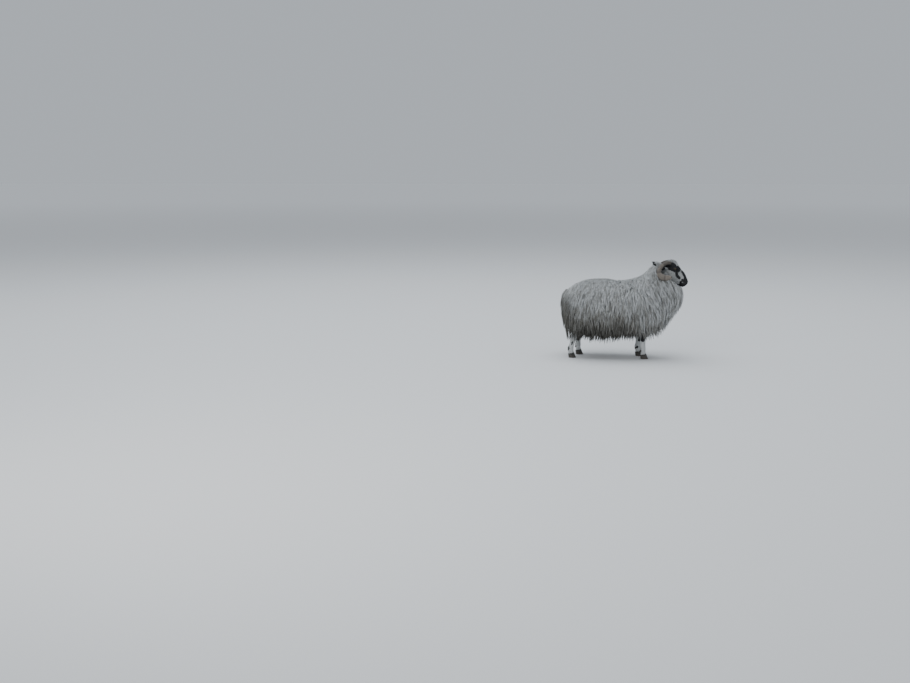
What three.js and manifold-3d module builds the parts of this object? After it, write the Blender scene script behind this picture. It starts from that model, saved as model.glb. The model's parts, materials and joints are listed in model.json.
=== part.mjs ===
// A horned blackface hill ewe in full fleece, standing still, at life size.
// Millimetres, +Z up, +X the way the ewe faces, +Y her left. The body is lofted whole, out to the
// tips of the wool, and parted with thin cuts into trunk, neck, head, tail and legs. Horns, ears,
// eyes, claws and dewclaws are pieces of their own. The origin is on the ground, under the middle
// of the ewe's box.
import * as THREE from "three";
import { mergeVertices } from "three/addons/utils/BufferGeometryUtils.js";
import Module from "manifold-3d";

const wasm = await Module();
wasm.setup();

// ---- Driving dimensions -------------------------------------------------------------------------
const GAP = 0.4; // left between touching pieces
const SIDES = { right: -1, left: 1 }; // sign of Y on each side of the ewe

// Outline of the fleece in side view. Each station runs from a point on the back to one on the belly:
// [back x, back z, belly x, belly z, half width, half width at the hem].
const FLEECE_STATIONS = [
  [-500, 482, -492, 312, 92, 84],
  [-478, 532, -472, 208, 158, 140],
  [-412, 586, -438, 152, 207, 180],
  [-335, 619, -338, 134, 230, 200],
  [-248, 634, -242, 121, 240, 208],
  [-165, 635, -155, 122, 243, 210],
  [-86, 624, -66, 130, 240, 206],
  [-18, 624, 38, 142, 236, 198],
  [50, 640, 128, 150, 228, 188],
  [106, 661, 212, 156, 219, 176],
  [144, 689, 292, 213, 206, 158],
  [174, 721, 362, 294, 186, 140],
  [200, 750, 413, 380, 160, 122],
  [222, 765, 440, 444, 136, 106],
  [246, 771, 448, 498, 108, 88],
  [268, 752, 443, 534, 86, 72],
  [290, 692, 436, 556, 70, 60],
  [312, 636, 428, 566, 56, 50],
];
const RUMP_POLE = [-505, 408];
const THROAT_POLE = [370, 601];
const FLEECE_STEPS = 42; // rings along the fleece
const FLEECE_RING = 28; // points round each ring
const HEM_SQUARENESS = 4.2; // how boxy the fleece hangs below its widest line
const BELLY_ARCH = 26; // how far the belly rises between the two hems
const ARCH_ENDS = [120, 300]; // the arch fades out between these points of the belly
const LOCK_PITCH = 98; // distance from one hanging lock to the next
const LOCK_DEPTH = 5; // how far the locks stand out at the flank
const LOCK_HANG = 9; // how much lower the hem hangs at a lock's middle

// The neck parts from the trunk on a plane through the withers and the breast, as [x, z].
const WITHERS = [98, 662];
const BREAST = [400, 340];

// The head lies along an axis that runs back and up from the lips.
const LIPS = [470, 598];
const HEAD_PITCH = 45; // degrees that the face points down
// [distance back from the lips, top, widest line, bottom, half width], measured square to the axis.
const HEAD_STATIONS = [
  [0, 11, -9, -31, 20],
  [8, 22, -4, -41, 30],
  [24, 30, 0, -50, 35.5],
  [44, 38, 3, -58, 37],
  [64, 45, 6, -67, 39.5],
  [84, 49, 11, -77, 45],
  [104, 49, 16, -86, 52],
  [124, 51, 21, -92, 59],
  [145, 55, 25, -95, 64.5],
  [166, 61, 26, -94, 66],
  [186, 65, 22, -88, 63],
  [206, 59, 12, -76, 57],
  [224, 46, 2, -60, 47],
  [238, 28, -6, -42, 34],
];
const HEAD_STEPS = 22;
const HEAD_RING = 20;
const HEAD_ENDS = [-5, 246]; // where the muzzle and the back of the head close
const FACE_ROWS = 11; // the rows that make up the face, as far back as the wool is cleared
const WOOL_CLEARANCE = 2.1; // how much wider than the face the opening in the wool is

const EYE = { back: 158, up: 19, out: 54, radius: 14 };
const BROW = { back: 164, up: 33, out: 48, radius: 19 };

// Horn path from root to tip as [x, z, distance from the middle, width in the curl, thickness across it].
const HORN_PATH = [
  [346, 748, 20, 38, 36],
  [330, 764, 36, 39, 36],
  [304, 768, 58, 37, 35],
  [275, 758, 83, 36, 34],
  [253, 733, 104, 36, 32],
  [246, 702, 119, 38, 30],
  [256, 674, 130, 43, 28],
  [281, 655, 138, 46, 25],
  [310, 650, 144, 38, 21],
  [335, 653, 149, 25, 16],
  [352, 659, 153, 8, 6],
];
const HORN_STEPS = 28;
const HORN_RING = 10;
const HORN_RIDGES = 15;
const HORN_RIDGE_DEPTH = 0.045; // of the thickness

// Ear path as [x, z, distance from the middle, width], and its thickness.
const EAR_PATH = [
  [316, 720, 50, 24],
  [297, 727, 60, 34],
  [270, 736, 70, 42],
  [243, 745, 78, 37],
  [217, 752, 86, 22],
  [203, 756, 90, 7],
];
const EAR_THICKNESS = 7;
const EAR_CUP = 7; // how far its edges curl outwards

// Tail path as [x, z, width, depth].
const TAIL_PATH = [
  [-466, 536, 56, 40],
  [-492, 500, 70, 46],
  [-504, 448, 74, 44],
  [-506, 385, 70, 42],
  [-497, 320, 60, 38],
  [-486, 262, 44, 30],
  [-480, 238, 20, 14],
];

// Legs below the fleece, as [height, half depth fore and aft, half width], from the wool down to the coronet.
const FRONT_LEG = [
  [250, 25, 21],
  [208, 24, 20],
  [176, 20, 17.5],
  [140, 17, 15],
  [104, 17, 15.5],
  [82, 20, 20],
  [64, 17.5, 18.5],
  [48, 19, 19.5],
  [36, 22, 21],
];
const HIND_LEG = [
  [240, 30, 20],
  [204, 26, 18.5],
  [172, 21, 16],
  [140, 17.5, 14.5],
  [104, 17, 15],
  [82, 20, 20],
  [64, 17.5, 18.5],
  [48, 19, 19.5],
  [36, 22, 21],
];
// Where each leg stands: the middle of its foot, and how far the leg's top lies ahead of that.
const STANCE = {
  front_right: { leg: FRONT_LEG, foot: 148, lean: -2, out: 78 },
  front_left: { leg: FRONT_LEG, foot: 108, lean: 10, out: 76 },
  hind_right: { leg: HIND_LEG, foot: -424, lean: 44, out: 92 },
  hind_left: { leg: HIND_LEG, foot: -374, lean: 8, out: 90 },
};
const PASTERN_TOP = 80; // height where the pastern starts to slope forward
const PASTERN_SLOPE = 9; // how far forward the foot's middle lies of the cannon
const CORONET_TILT = 0.28; // how steeply the top of the hoof falls towards the heel
const LEG_RING = 10;
const LEG_STEPS = 13;

const CLAW = { height: 36, length: 60, width: 21, split: 1.8, toe: 0.6 };
const DEWCLAW = { height: 66, radius: 7, back: 17, out: 10.5, drop: 1.35 };

// ---- Colours ------------------------------------------------------------------------------------
const finish = (color, roughness) => new THREE.MeshStandardMaterial({ color, roughness, metalness: 0 });
const WOOL = finish(0xc4c4bd, 0.95);
const FACE_HAIR = finish(0x9c9d9b, 0.8);
const DARK_HAIR = finish(0x1c1b1d, 0.75);
const LEG_HAIR = finish(0xc9cac8, 0.85);
const HORN = finish(0x8f8a80, 0.55);
const HOOF = finish(0x2b2826, 0.5);
const EYE_BLACK = finish(0x141009, 0.08);

// ---- Solids from rings --------------------------------------------------------------------------
const radians = THREE.MathUtils.degToRad;
const power = (value, exponent) => Math.sign(value) * Math.abs(value) ** exponent;

// Reads a table of stations as smooth curves through all its rows, at t from 0 to 1.
function along(stations, t) {
  const last = stations.length - 1;
  const at = Math.min(t * last, last - 1e-9);
  const i = Math.floor(at);
  const row = (k) => stations[Math.min(Math.max(k, 0), last)];
  return stations[0].map((_, column) => {
    const [a, b, c, d] = [row(i - 1), row(i), row(i + 1), row(i + 2)].map((r) => r[column]);
    const f = at - i;
    return b + 0.5 * f * (c - a + f * (2 * a - 5 * b + 4 * c - d + f * (3 * (b - c) + d - a)));
  });
}

// A closed manifold-3d solid from rings of equal length, drawn to a point at each end.
function loft(rings, startPole, endPole) {
  const size = rings[0].length;
  const points = [startPole, ...rings.flat(), endPole];
  const end = points.length - 1;
  const faces = [];
  for (let i = 0; i < size; i++) {
    const j = (i + 1) % size;
    const lastRing = (rings.length - 1) * size + 1;
    faces.push([0, j + 1, i + 1], [end, lastRing + i, lastRing + j]);
    for (let r = 0; r < rings.length - 1; r++) {
      const [a, b] = [r * size + 1 + i, r * size + 1 + j];
      faces.push([a, b, b + size], [a, b + size, a + size]);
    }
  }
  const solid = fromFaces(points, faces);
  return solid.volume() > 0 ? solid : fromFaces(points, faces.map(([a, b, c]) => [a, c, b]));
}

function fromFaces(points, faces) {
  return new wasm.Manifold(
    new wasm.Mesh({
      numProp: 3,
      vertProperties: new Float32Array(points.flatMap((p) => [p.x, p.y, p.z])),
      triVerts: new Uint32Array(faces.flat()),
    }),
  );
}

// A manifold-3d solid as a three.js geometry with normals.
function toGeometry(solid) {
  const { numProp, vertProperties, triVerts } = solid.getMesh();
  const count = vertProperties.length / numProp;
  const positions = new Float32Array(count * 3);
  for (let i = 0; i < count; i++)
    positions.set(vertProperties.subarray(i * numProp, i * numProp + 3), i * 3);
  const geometry = new THREE.BufferGeometry();
  geometry.setAttribute("position", new THREE.BufferAttribute(positions, 3));
  geometry.setIndex(new THREE.BufferAttribute(triVerts, 1));
  geometry.computeVertexNormals();
  return geometry;
}

// A three.js geometry as a manifold-3d solid.
function fromGeometry(geometry) {
  const bare = geometry.clone();
  bare.deleteAttribute("normal");
  bare.deleteAttribute("uv");
  const merged = mergeVertices(bare, 1e-4);
  return new wasm.Manifold(
    new wasm.Mesh({
      numProp: 3,
      vertProperties: merged.attributes.position.array,
      triVerts: new Uint32Array(merged.index.array),
    }),
  );
}

function sphere(centre, radius, segments) {
  const ball = new THREE.SphereGeometry(radius, segments, Math.round(segments / 2));
  return fromGeometry(ball.translate(centre.x, centre.y, centre.z));
}

// A ring of points round a path: frame holds its centre and two unit vectors, radii go with them.
function ring(count, centre, u, v, shape) {
  return Array.from({ length: count }, (_, i) => {
    const [a, b] = shape((2 * Math.PI * i) / count);
    return centre.clone().addScaledVector(u, a).addScaledVector(v, b);
  });
}

// A tube along a table of [x, z, out, ...], with one ring for each step, shaped by section(t, row).
function sweep(path, steps, count, side, up, section) {
  const place = (t) => {
    const [x, z, out] = along(path, t);
    return new THREE.Vector3(x, side * out, z);
  };
  const rings = [];
  for (let i = 0; i <= steps; i++) {
    const t = i / steps;
    const ahead = place(Math.min(t + 0.01, 1)).sub(place(Math.max(t - 0.01, 0))).normalize();
    const v = up.clone().addScaledVector(ahead, -up.dot(ahead)).normalize();
    const u = ahead.clone().cross(v);
    rings.push(ring(count, place(t), u, v, section(t)));
  }
  return loft(rings, place(0), place(1));
}

// ---- The fleece: trunk and neck in one ----------------------------------------------------------
function fleeceRing(t) {
  const [backX, backZ, bellyX, bellyZ, half, hem] = along(FLEECE_STATIONS, t);
  const back = new THREE.Vector3(backX, 0, backZ);
  const belly = new THREE.Vector3(bellyX, 0, bellyZ);
  const middle = back.clone().add(belly).multiplyScalar(0.5);
  const up = back.clone().sub(middle);
  const lock = Math.sin((2 * Math.PI * (backX + bellyX)) / 2 / LOCK_PITCH);
  const archHeight = BELLY_ARCH * (1 - THREE.MathUtils.smoothstep(bellyX, ...ARCH_ENDS));
  return Array.from({ length: FLEECE_RING }, (_, i) => {
    const angle = (2 * Math.PI * i) / FLEECE_RING;
    const [side, rise] = [Math.sin(angle), Math.cos(angle)];
    if (rise >= 0) return middle.clone().addScaledVector(up, rise).setY(half * side);
    const drop = Math.abs(rise) ** (2 / HEM_SQUARENESS);
    const width = THREE.MathUtils.lerp(half, hem, drop) + LOCK_DEPTH * lock * drop;
    const y = width * power(side, 2 / HEM_SQUARENESS);
    const arch = drop * archHeight * (1 - (y / hem) ** 2);
    const hang = drop ** 4 * LOCK_HANG * lock;
    const point = middle.clone().addScaledVector(up, -drop).setY(y);
    point.z += Math.max(arch, 0) - hang;
    return point;
  });
}

function makeFleece() {
  const rings = Array.from({ length: FLEECE_STEPS + 1 }, (_, i) => fleeceRing(i / FLEECE_STEPS));
  const pole = ([x, z]) => new THREE.Vector3(x, 0, z);
  return loft(rings, pole(RUMP_POLE), pole(THROAT_POLE));
}

// A slab that fills everything ahead of the plane through the withers and the breast.
function aheadOfShoulder(offset) {
  const REACH = 1600;
  const run = new THREE.Vector2(BREAST[0] - WITHERS[0], BREAST[1] - WITHERS[1]);
  const slab = new THREE.BoxGeometry(REACH, REACH, REACH);
  slab.translate(REACH / 2 + offset, 0, 0);
  slab.rotateY(-Math.atan2(run.x, -run.y));
  slab.translate(WITHERS[0], 0, WITHERS[1]);
  return fromGeometry(slab);
}

// ---- Head ---------------------------------------------------------------------------------------
const headBack = new THREE.Vector3(-Math.cos(radians(HEAD_PITCH)), 0, Math.sin(radians(HEAD_PITCH)));
const headUp = new THREE.Vector3(Math.sin(radians(HEAD_PITCH)), 0, Math.cos(radians(HEAD_PITCH)));
const Y_AXIS = new THREE.Vector3(0, 1, 0);

// A point on the head, by distance back from the lips, height above the axis and distance to one side.
function onHead(back, up, out) {
  const lips = new THREE.Vector3(LIPS[0], out, LIPS[1]);
  return lips.addScaledVector(headBack, back).addScaledVector(headUp, up);
}

// The face and skull as rings that are rounder above the widest line. Below 2, the taper narrows the jaw.
function makeSkull(stations, steps, widening, jawTaper, backEnd) {
  const FACE_FULLNESS = 2.2;
  const rings = Array.from({ length: steps + 1 }, (_, i) => {
    const [back, top, widest, bottom, half] = along(stations, i / steps);
    return ring(HEAD_RING, onHead(back, widest, 0), headUp, Y_AXIS, (angle) => {
      const [rise, side] = [Math.cos(angle), Math.sin(angle)];
      const exponent = 2 / (rise > 0 ? FACE_FULLNESS : jawTaper);
      const reach = rise > 0 ? top - widest : widest - bottom;
      return [reach * power(rise, exponent), half * widening * power(side, exponent)];
    });
  });
  return loft(rings, onHead(HEAD_ENDS[0], -10, 0), onHead(backEnd, -8, 0));
}

function makeHead() {
  const JAW_TAPER = 1.75;
  const skull = makeSkull(HEAD_STATIONS, HEAD_STEPS, 1, JAW_TAPER, HEAD_ENDS[1]);
  return Object.values(SIDES).reduce(
    (head, side) => head.add(sphere(onHead(BROW.back, BROW.up, side * BROW.out), BROW.radius, 14)),
    skull,
  );
}

// The room the wool leaves for the face: as deep as the face in side view, but wider.
function makeFaceOpening() {
  const STEPS = 10;
  const SQUARE = 4;
  const face = HEAD_STATIONS.slice(0, FACE_ROWS);
  return makeSkull(face, STEPS, WOOL_CLEARANCE, SQUARE, face.at(-1)[0] + 8);
}

function makeEye(side, radius) {
  return sphere(onHead(EYE.back, EYE.up, side * EYE.out), radius, 12);
}

function makeHorn(side) {
  const up = new THREE.Vector3(0, side, 0.001);
  return sweep(HORN_PATH, HORN_STEPS, HORN_RING, side, up, (t) => {
    const [width, thickness] = along(HORN_PATH, t).slice(3);
    const ridge = 1 + HORN_RIDGE_DEPTH * Math.sin(2 * Math.PI * HORN_RIDGES * Math.sqrt(t));
    const [half, thick] = [(width / 2) * ridge, (thickness / 2) * ridge];
    return (angle) => [half * Math.cos(angle), thick * Math.sin(angle)];
  });
}

function makeEar(side) {
  const STEPS = 8;
  const COUNT = 10;
  const outwards = new THREE.Vector3(0, side, 0);
  return sweep(EAR_PATH, STEPS, COUNT, side, outwards, (t) => {
    const width = along(EAR_PATH, t)[3] / 2;
    return (angle) => {
      const across = Math.cos(angle);
      const cup = EAR_CUP * (width / 22) * across ** 2;
      const thick = (EAR_THICKNESS / 2) * Math.sin(angle) * Math.min(1, width / 10);
      return [width * across, cup + thick];
    };
  });
}

// ---- Tail and legs ------------------------------------------------------------------------------
function makeTail() {
  const STEPS = 10;
  const COUNT = 12;
  const path = TAIL_PATH.map(([x, z, width, depth]) => [x, z, 0, width / 2, depth / 2]);
  return sweep(path, STEPS, COUNT, 1, Y_AXIS, (t) => {
    const [, , , half, deep] = along(path, t);
    return (angle) => [deep * Math.cos(angle), half * Math.sin(angle)];
  });
}

function makeLeg({ leg, foot, lean, out }, side) {
  const [top, bottom] = [leg[0][0], leg.at(-1)[0]];
  const rings = Array.from({ length: LEG_STEPS + 1 }, (_, i) => {
    const [z, deep, wide] = along(leg, i / LEG_STEPS);
    const below = 1 - THREE.MathUtils.smoothstep(z, bottom, PASTERN_TOP);
    const above = Math.max((z - PASTERN_TOP) / (top - PASTERN_TOP), 0);
    const x = foot - PASTERN_SLOPE * (1 - below) + lean * above;
    const forward = new THREE.Vector3(1, 0, CORONET_TILT * below);
    return ring(LEG_RING, new THREE.Vector3(x, side * out, z), forward, Y_AXIS, (angle) => [
      deep * Math.cos(angle),
      wide * Math.sin(angle),
    ]);
  });
  const middle = (points) =>
    points.reduce((sum, p) => sum.add(p), new THREE.Vector3()).divideScalar(points.length);
  return loft(rings, middle(rings[0]), middle(rings.at(-1)));
}

// One half of a cloven hoof: flat underneath, sloping at the toe and flat against its neighbour.
// The first half of each ring goes round the outside from toe to heel, and the second comes back
// along the flat face.
function makeClaw({ foot, out }, side, inner) {
  const LEVELS = 3;
  const ROUND = 8;
  const flat = side * out + inner * CLAW.split;
  const ringAt = (rise) => {
    const length = (CLAW.length / 2) * (1 - 0.22 * rise);
    const width = CLAW.width * (1 - 0.06 * rise);
    const point = (angle, reach) => {
      const ahead = Math.cos(angle);
      const narrowing = 1 - (1 - CLAW.toe) * Math.max(ahead, 0);
      const x = length * ahead;
      const z = rise * (CLAW.height + CORONET_TILT * x);
      return new THREE.Vector3(foot + 5 - 11 * rise + x, flat + inner * reach * width * narrowing, z);
    };
    const turns = Array.from({ length: ROUND + 1 }, (_, i) => (Math.PI * i) / ROUND);
    const outside = turns.map((angle) => point(angle, Math.sin(angle)));
    return [...outside, outside[ROUND].clone().lerp(outside[0], 0.5)];
  };
  const rings = Array.from({ length: LEVELS + 1 }, (_, i) => ringAt(i / LEVELS));
  const inwards = new THREE.Vector3(0, inner * 4, 0);
  const cap = (points) => points[ROUND].clone().lerp(points[0], 0.5).add(inwards);
  return loft(rings, cap(rings[0]), cap(rings.at(-1)));
}

function makeDewclaw({ foot, out }, side, inner) {
  const SEGMENTS = 6;
  const [x, y] = [foot - PASTERN_SLOPE - DEWCLAW.back, side * out + inner * DEWCLAW.out];
  const nub = new THREE.SphereGeometry(DEWCLAW.radius, SEGMENTS, SEGMENTS - 2).scale(1, 1, DEWCLAW.drop);
  return fromGeometry(nub.rotateY(0.5).translate(x, y, DEWCLAW.height));
}

// ---- Parting the body ---------------------------------------------------------------------------
// A solid with every point moved out along its normal, which weighs each face there by its angle.
function grown(solid, by) {
  const { attributes, index } = toGeometry(solid);
  const points = Array.from({ length: attributes.position.count }, (_, i) =>
    new THREE.Vector3().fromBufferAttribute(attributes.position, i),
  );
  const normals = points.map(() => new THREE.Vector3());
  const weigh = (face, at, next, last) => {
    const [a, b] = [next, last].map((corner) => points[corner].clone().sub(points[at]));
    normals[at].addScaledVector(face, a.angleTo(b));
  };
  for (let i = 0; i < index.count; i += 3) {
    const [a, b, c] = [0, 1, 2].map((k) => index.getX(i + k));
    const triangle = new THREE.Triangle(points[a], points[b], points[c]);
    const face = triangle.getNormal(new THREE.Vector3());
    weigh(face, a, b, c);
    weigh(face, b, c, a);
    weigh(face, c, a, b);
  }
  const moved = points.map((point, i) => point.clone().addScaledVector(normals[i].normalize(), by));
  return fromFaces(moved, [...index.array]);
}

// Cuts one solid back from another, leaving the gap between them.
function clearOf(solid, other) {
  const SLIVER = 0.12;
  return solid.subtract(grown(other, GAP)).simplify(SLIVER);
}

const pieces = [];
const add = (name, solid, material) => pieces.push({ name, solid, material });

const fleece = makeFleece();
const wholeHead = makeHead();
const neck = fleece.intersect(aheadOfShoulder(GAP / 2)).subtract(makeFaceOpening());
const trunk = fleece.subtract(aheadOfShoulder(-GAP / 2));
add("trunk", trunk, WOOL);
add("neck", neck, WOOL);
add("tail", clearOf(makeTail(), trunk), WOOL);

// The head starts where the wool of the neck ends, and has a socket for each eye.
const sockets = Object.values(SIDES).map((side) => makeEye(side, EYE.radius + GAP));
add("head", sockets.reduce((rest, socket) => rest.subtract(socket), clearOf(wholeHead, neck)), FACE_HAIR);

for (const [name, side] of Object.entries(SIDES)) {
  const horn = clearOf(clearOf(makeHorn(side), wholeHead), neck);
  add(`horn_${name}`, horn, HORN);
  add(`ear_${name}`, clearOf(clearOf(clearOf(makeEar(side), wholeHead), neck), horn), DARK_HAIR);
  add(`eye_${name}`, makeEye(side, EYE.radius), EYE_BLACK);
}

for (const [name, stance] of Object.entries(STANCE)) {
  const side = SIDES[name.split("_")[1]];
  const leg = clearOf(makeLeg(stance, side), trunk);
  add(`leg_${name}`, leg, LEG_HAIR);
  for (const [which, inner] of Object.entries({ outer: side, inner: -side })) {
    add(`claw_${name}_${which}`, clearOf(makeClaw(stance, side, inner), leg), HOOF);
    add(`dewclaw_${name}_${which}`, clearOf(makeDewclaw(stance, side, inner), leg), HOOF);
  }
}

// ---- The finished ewe ---------------------------------------------------------------------------
function toMesh({ name, solid, material }) {
  const mesh = new THREE.Mesh(toGeometry(solid), material);
  mesh.name = name;
  return mesh;
}

const ewe = new THREE.Group();
ewe.add(...pieces.map(toMesh));
const box = new THREE.Box3().setFromObject(ewe);
const middle = box.getCenter(new THREE.Vector3());
ewe.position.set(-middle.x, -middle.y, -box.min.z);
const size = box.getSize(new THREE.Vector3()).toArray().map(Math.round);
console.log("size mm", size, "centre x", middle.x.toFixed(2));

export default ewe;
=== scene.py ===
# %% [markdown]
# # A horned blackface ewe in long fleece, standing still
#
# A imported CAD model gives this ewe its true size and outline, out to the tips of the wool. Here it
# gets its looks. The real animal has three kinds of surface: skin with short flat hair on face, ears
# and legs; a fleece of long pointed locks that hangs almost to the ground; and bare horn, hoof and eye.
# Each is made in its own way below, from the inside out: skin, eyes, horns, hooves, then the wool.

import itertools
import json
import math

import bmesh
import bpy
import numpy as np
from mathutils import Matrix, Vector
from mathutils.bvhtree import BVHTree
from mathutils.kdtree import KDTree

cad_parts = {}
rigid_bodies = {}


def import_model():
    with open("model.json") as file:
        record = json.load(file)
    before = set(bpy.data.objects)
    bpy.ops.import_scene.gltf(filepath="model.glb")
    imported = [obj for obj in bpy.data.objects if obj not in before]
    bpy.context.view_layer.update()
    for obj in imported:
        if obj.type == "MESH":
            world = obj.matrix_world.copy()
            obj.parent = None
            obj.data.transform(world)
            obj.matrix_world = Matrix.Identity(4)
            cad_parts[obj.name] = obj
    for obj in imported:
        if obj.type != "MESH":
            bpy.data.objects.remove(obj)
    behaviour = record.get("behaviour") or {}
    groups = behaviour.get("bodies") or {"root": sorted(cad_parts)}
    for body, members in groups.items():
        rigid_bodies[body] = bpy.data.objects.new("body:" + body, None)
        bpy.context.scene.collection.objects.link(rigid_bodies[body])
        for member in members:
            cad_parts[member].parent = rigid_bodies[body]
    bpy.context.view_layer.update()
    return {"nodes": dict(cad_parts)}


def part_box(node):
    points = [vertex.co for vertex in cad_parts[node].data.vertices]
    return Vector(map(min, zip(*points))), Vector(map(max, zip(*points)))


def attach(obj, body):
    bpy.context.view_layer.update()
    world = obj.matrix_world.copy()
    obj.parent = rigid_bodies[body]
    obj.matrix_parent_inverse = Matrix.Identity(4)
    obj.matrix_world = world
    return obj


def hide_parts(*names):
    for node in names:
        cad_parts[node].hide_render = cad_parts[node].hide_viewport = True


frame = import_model()
MM = 0.001
SIDES = {"right": -1, "left": 1}  # sign of Y

# %% [markdown]
# ## Where the head is
#
# The face is easiest to think of along its own axis, from the lips back to the poll, tilted 45 degrees.
# The eye sockets of the CAD fix where that axis is, so all of the head's sizes are given on it: how far
# back from the lips, how far up from the axis and how far out to the side.

# %% The head's own axes
PITCH = math.radians(45)
BACK = np.array([-math.cos(PITCH), 0.0, math.sin(PITCH)])
UP = np.array([math.sin(PITCH), 0.0, math.cos(PITCH)])
OUT = np.array([0.0, 1.0, 0.0])
EYE_BACK, EYE_UP, EYE_OUT, EYE_RADIUS = 158 * MM, 19 * MM, 54 * MM, 14 * MM


def middle_of(node):
    low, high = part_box(node)
    return np.array((low + high) / 2)


EYES = {side: middle_of("eye_" + name) for name, side in SIDES.items()}
lips = EYES[-1] - BACK * EYE_BACK - UP * EYE_UP + OUT * EYE_OUT
LIPS_X = 470 * MM  # where the drawing of the ewe has her lips
SHIFT = np.array([lips[0] - LIPS_X, 0.0, 0.0])  # from that drawing to the frame


def on_head(back, up, out):
    """A point, or an array of them, from millimetres back from the lips, up and out."""
    back, up, out = (np.asarray(number, float)[..., None] * MM for number in (back, up, out))
    return lips + BACK * back + UP * up + OUT * out


def head_sizes(points):
    """Millimetres back, up and out for points in the frame: the reverse of on_head."""
    away = (np.asarray(points) - lips) / MM
    return away @ BACK, away @ UP, away @ OUT


print("lips at", lips.round(4), "drawing moved by", SHIFT.round(5))

# %% [markdown]
# ## Tools for lofting
#
# Most of an animal is a row of cross-sections. A table holds a few of them, chosen where the form
# changes, and a smooth curve through each column fills in the rest. Every section becomes a circle whose
# points are set to that section, and neighbouring circles are bridged. It is quicker than pushing a
# sphere into shape and keeps every size in plain sight.


# %% Reading a table as smooth curves
def between(a, b, c, d, f):
    """A share f of the way from b to c, on a smooth curve that comes from a and goes on to d."""
    return b + 0.5 * f * (c - a + f * (2 * a - 5 * b + 4 * c - d + f * (3 * (b - c) + d - a)))


def along(stations, t):
    """Reads a table of stations as smooth curves through its rows, at t from 0 to 1."""
    rows = np.asarray(stations, float)
    last = len(rows) - 1
    at = np.clip(np.asarray(t, float), 0, 1) * last
    i = np.minimum(np.floor(at).astype(int), last - 1)
    return between(*(rows[np.clip(i + step, 0, last)] for step in (-1, 0, 1, 2)), (at - i)[..., None])


def power(value, exponent):
    return np.sign(value) * np.abs(value) ** exponent


def smooth(value, low, high):
    """Climbs gently from 0 at low to 1 at high."""
    x = np.clip((np.asarray(value, float) - low) / (high - low), 0, 1)
    return x * x * (3 - 2 * x)


def turns(count):
    """The angles that divide a full turn evenly."""
    return np.arange(count) * 2 * math.pi / count


def unit(vectors):
    return vectors / np.maximum(np.linalg.norm(vectors, axis=-1, keepdims=True), 1e-9)


# %% Lofts and sweeps
def loft(rings):
    """A closed bmesh through rings of points, each a circle bridged to the next."""
    shape = bmesh.new()
    loops = []
    for ring in rings:
        made = bmesh.ops.create_circle(shape, segments=len(ring), radius=1.0, cap_ends=False)
        for vert, place in zip(made["verts"], ring):
            vert.co = place
        loops.append(list(dict.fromkeys(e for vert in made["verts"] for e in vert.link_edges)))
    for near, far in zip(loops, loops[1:]):
        bmesh.ops.bridge_loops(shape, edges=near + far)
    for end in (loops[0], loops[-1]):
        bmesh.ops.holes_fill(shape, edges=end, sides=0)
    bmesh.ops.recalc_face_normals(shape, faces=shape.faces)
    return shape


def sweep(path, steps, side, up, section):
    """Rings along a path of [x, z, out, ...] in drawing millimetres: section gives each ring's shape."""

    def place(t):
        x, z, out = along(path, t)[:, :3].T * MM
        return np.stack([x, side * out, z], axis=-1) + SHIFT

    t = np.linspace(0, 1, steps + 1)
    ahead = unit(place(t + 0.01) - place(t - 0.01))
    v = unit(np.asarray(up) - ahead * (ahead @ np.asarray(up))[:, None])
    u = np.cross(ahead, v)
    rings = []
    for k, middle in enumerate(place(t)):
        across, outward = section(t[k])
        rings.append(middle + np.outer(across, u[k]) * MM + np.outer(outward, v[k]) * MM)
    return rings


# %% Objects and their modifiers
def make_object(name, *shapes):
    """One object from one or more bmeshes, smooth shaded."""
    whole = bmesh.new()
    for shape in shapes:
        part = bpy.data.meshes.new(name)
        shape.to_mesh(part)
        shape.free()
        whole.from_mesh(part)
        bpy.data.meshes.remove(part)
    mesh = bpy.data.meshes.new(name)
    whole.to_mesh(mesh)
    whole.free()
    mesh.shade_smooth()
    piece = bpy.data.objects.new(name, mesh)
    bpy.context.collection.objects.link(piece)
    return piece


def worked_in(piece, kind, **settings):
    """Adds one modifier and applies it."""
    modifier = piece.modifiers.new(kind, kind)
    for key, setting in settings.items():
        setattr(modifier, key, setting)
    graph = bpy.context.evaluated_depsgraph_get()
    mesh = bpy.data.meshes.new_from_object(piece.evaluated_get(graph))
    piece.modifiers.clear()
    old, piece.data = piece.data, mesh
    bpy.data.meshes.remove(old)
    mesh.shade_smooth()
    return piece


def discard(piece):
    mesh = piece.data
    bpy.data.objects.remove(piece)
    bpy.data.meshes.remove(mesh)


def combine(piece, other, operation):
    """Joins another closed object to this one, or cuts it away, and discards the other."""
    worked_in(piece, "BOOLEAN", object=other, operation=operation, solver="MANIFOLD")
    discard(other)
    return piece


def belongs(piece, slot, *nodes):
    """Ties a finished piece to the frame: its body and the CAD nodes it stands for. Its slot is not used."""
    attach(piece, "root")
    if nodes:
        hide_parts(*nodes)
    return piece


# %% Points of a mesh
def points_of(mesh, key="co"):
    values = np.empty(len(mesh.vertices) * 3)
    mesh.vertices.foreach_get(key, values)
    return values.reshape(-1, 3)


def move_points(mesh, points):
    mesh.vertices.foreach_set("co", points.ravel())
    mesh.update()


def triangles_in(*pieces):
    for piece in pieces:
        piece.data.calc_loop_triangles()
    return sum(len(piece.data.loop_triangles) for piece in pieces)


def store(mesh, name, values):
    """Keeps one number for each point, for a material to read."""
    attribute = mesh.attributes.new(name, "FLOAT", "POINT")
    attribute.data.foreach_set("value", np.asarray(values, np.float32))


def search_tree(mesh):
    return BVHTree.FromPolygons(points_of(mesh).tolist(), [face.vertices[:] for face in mesh.polygons])


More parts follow.
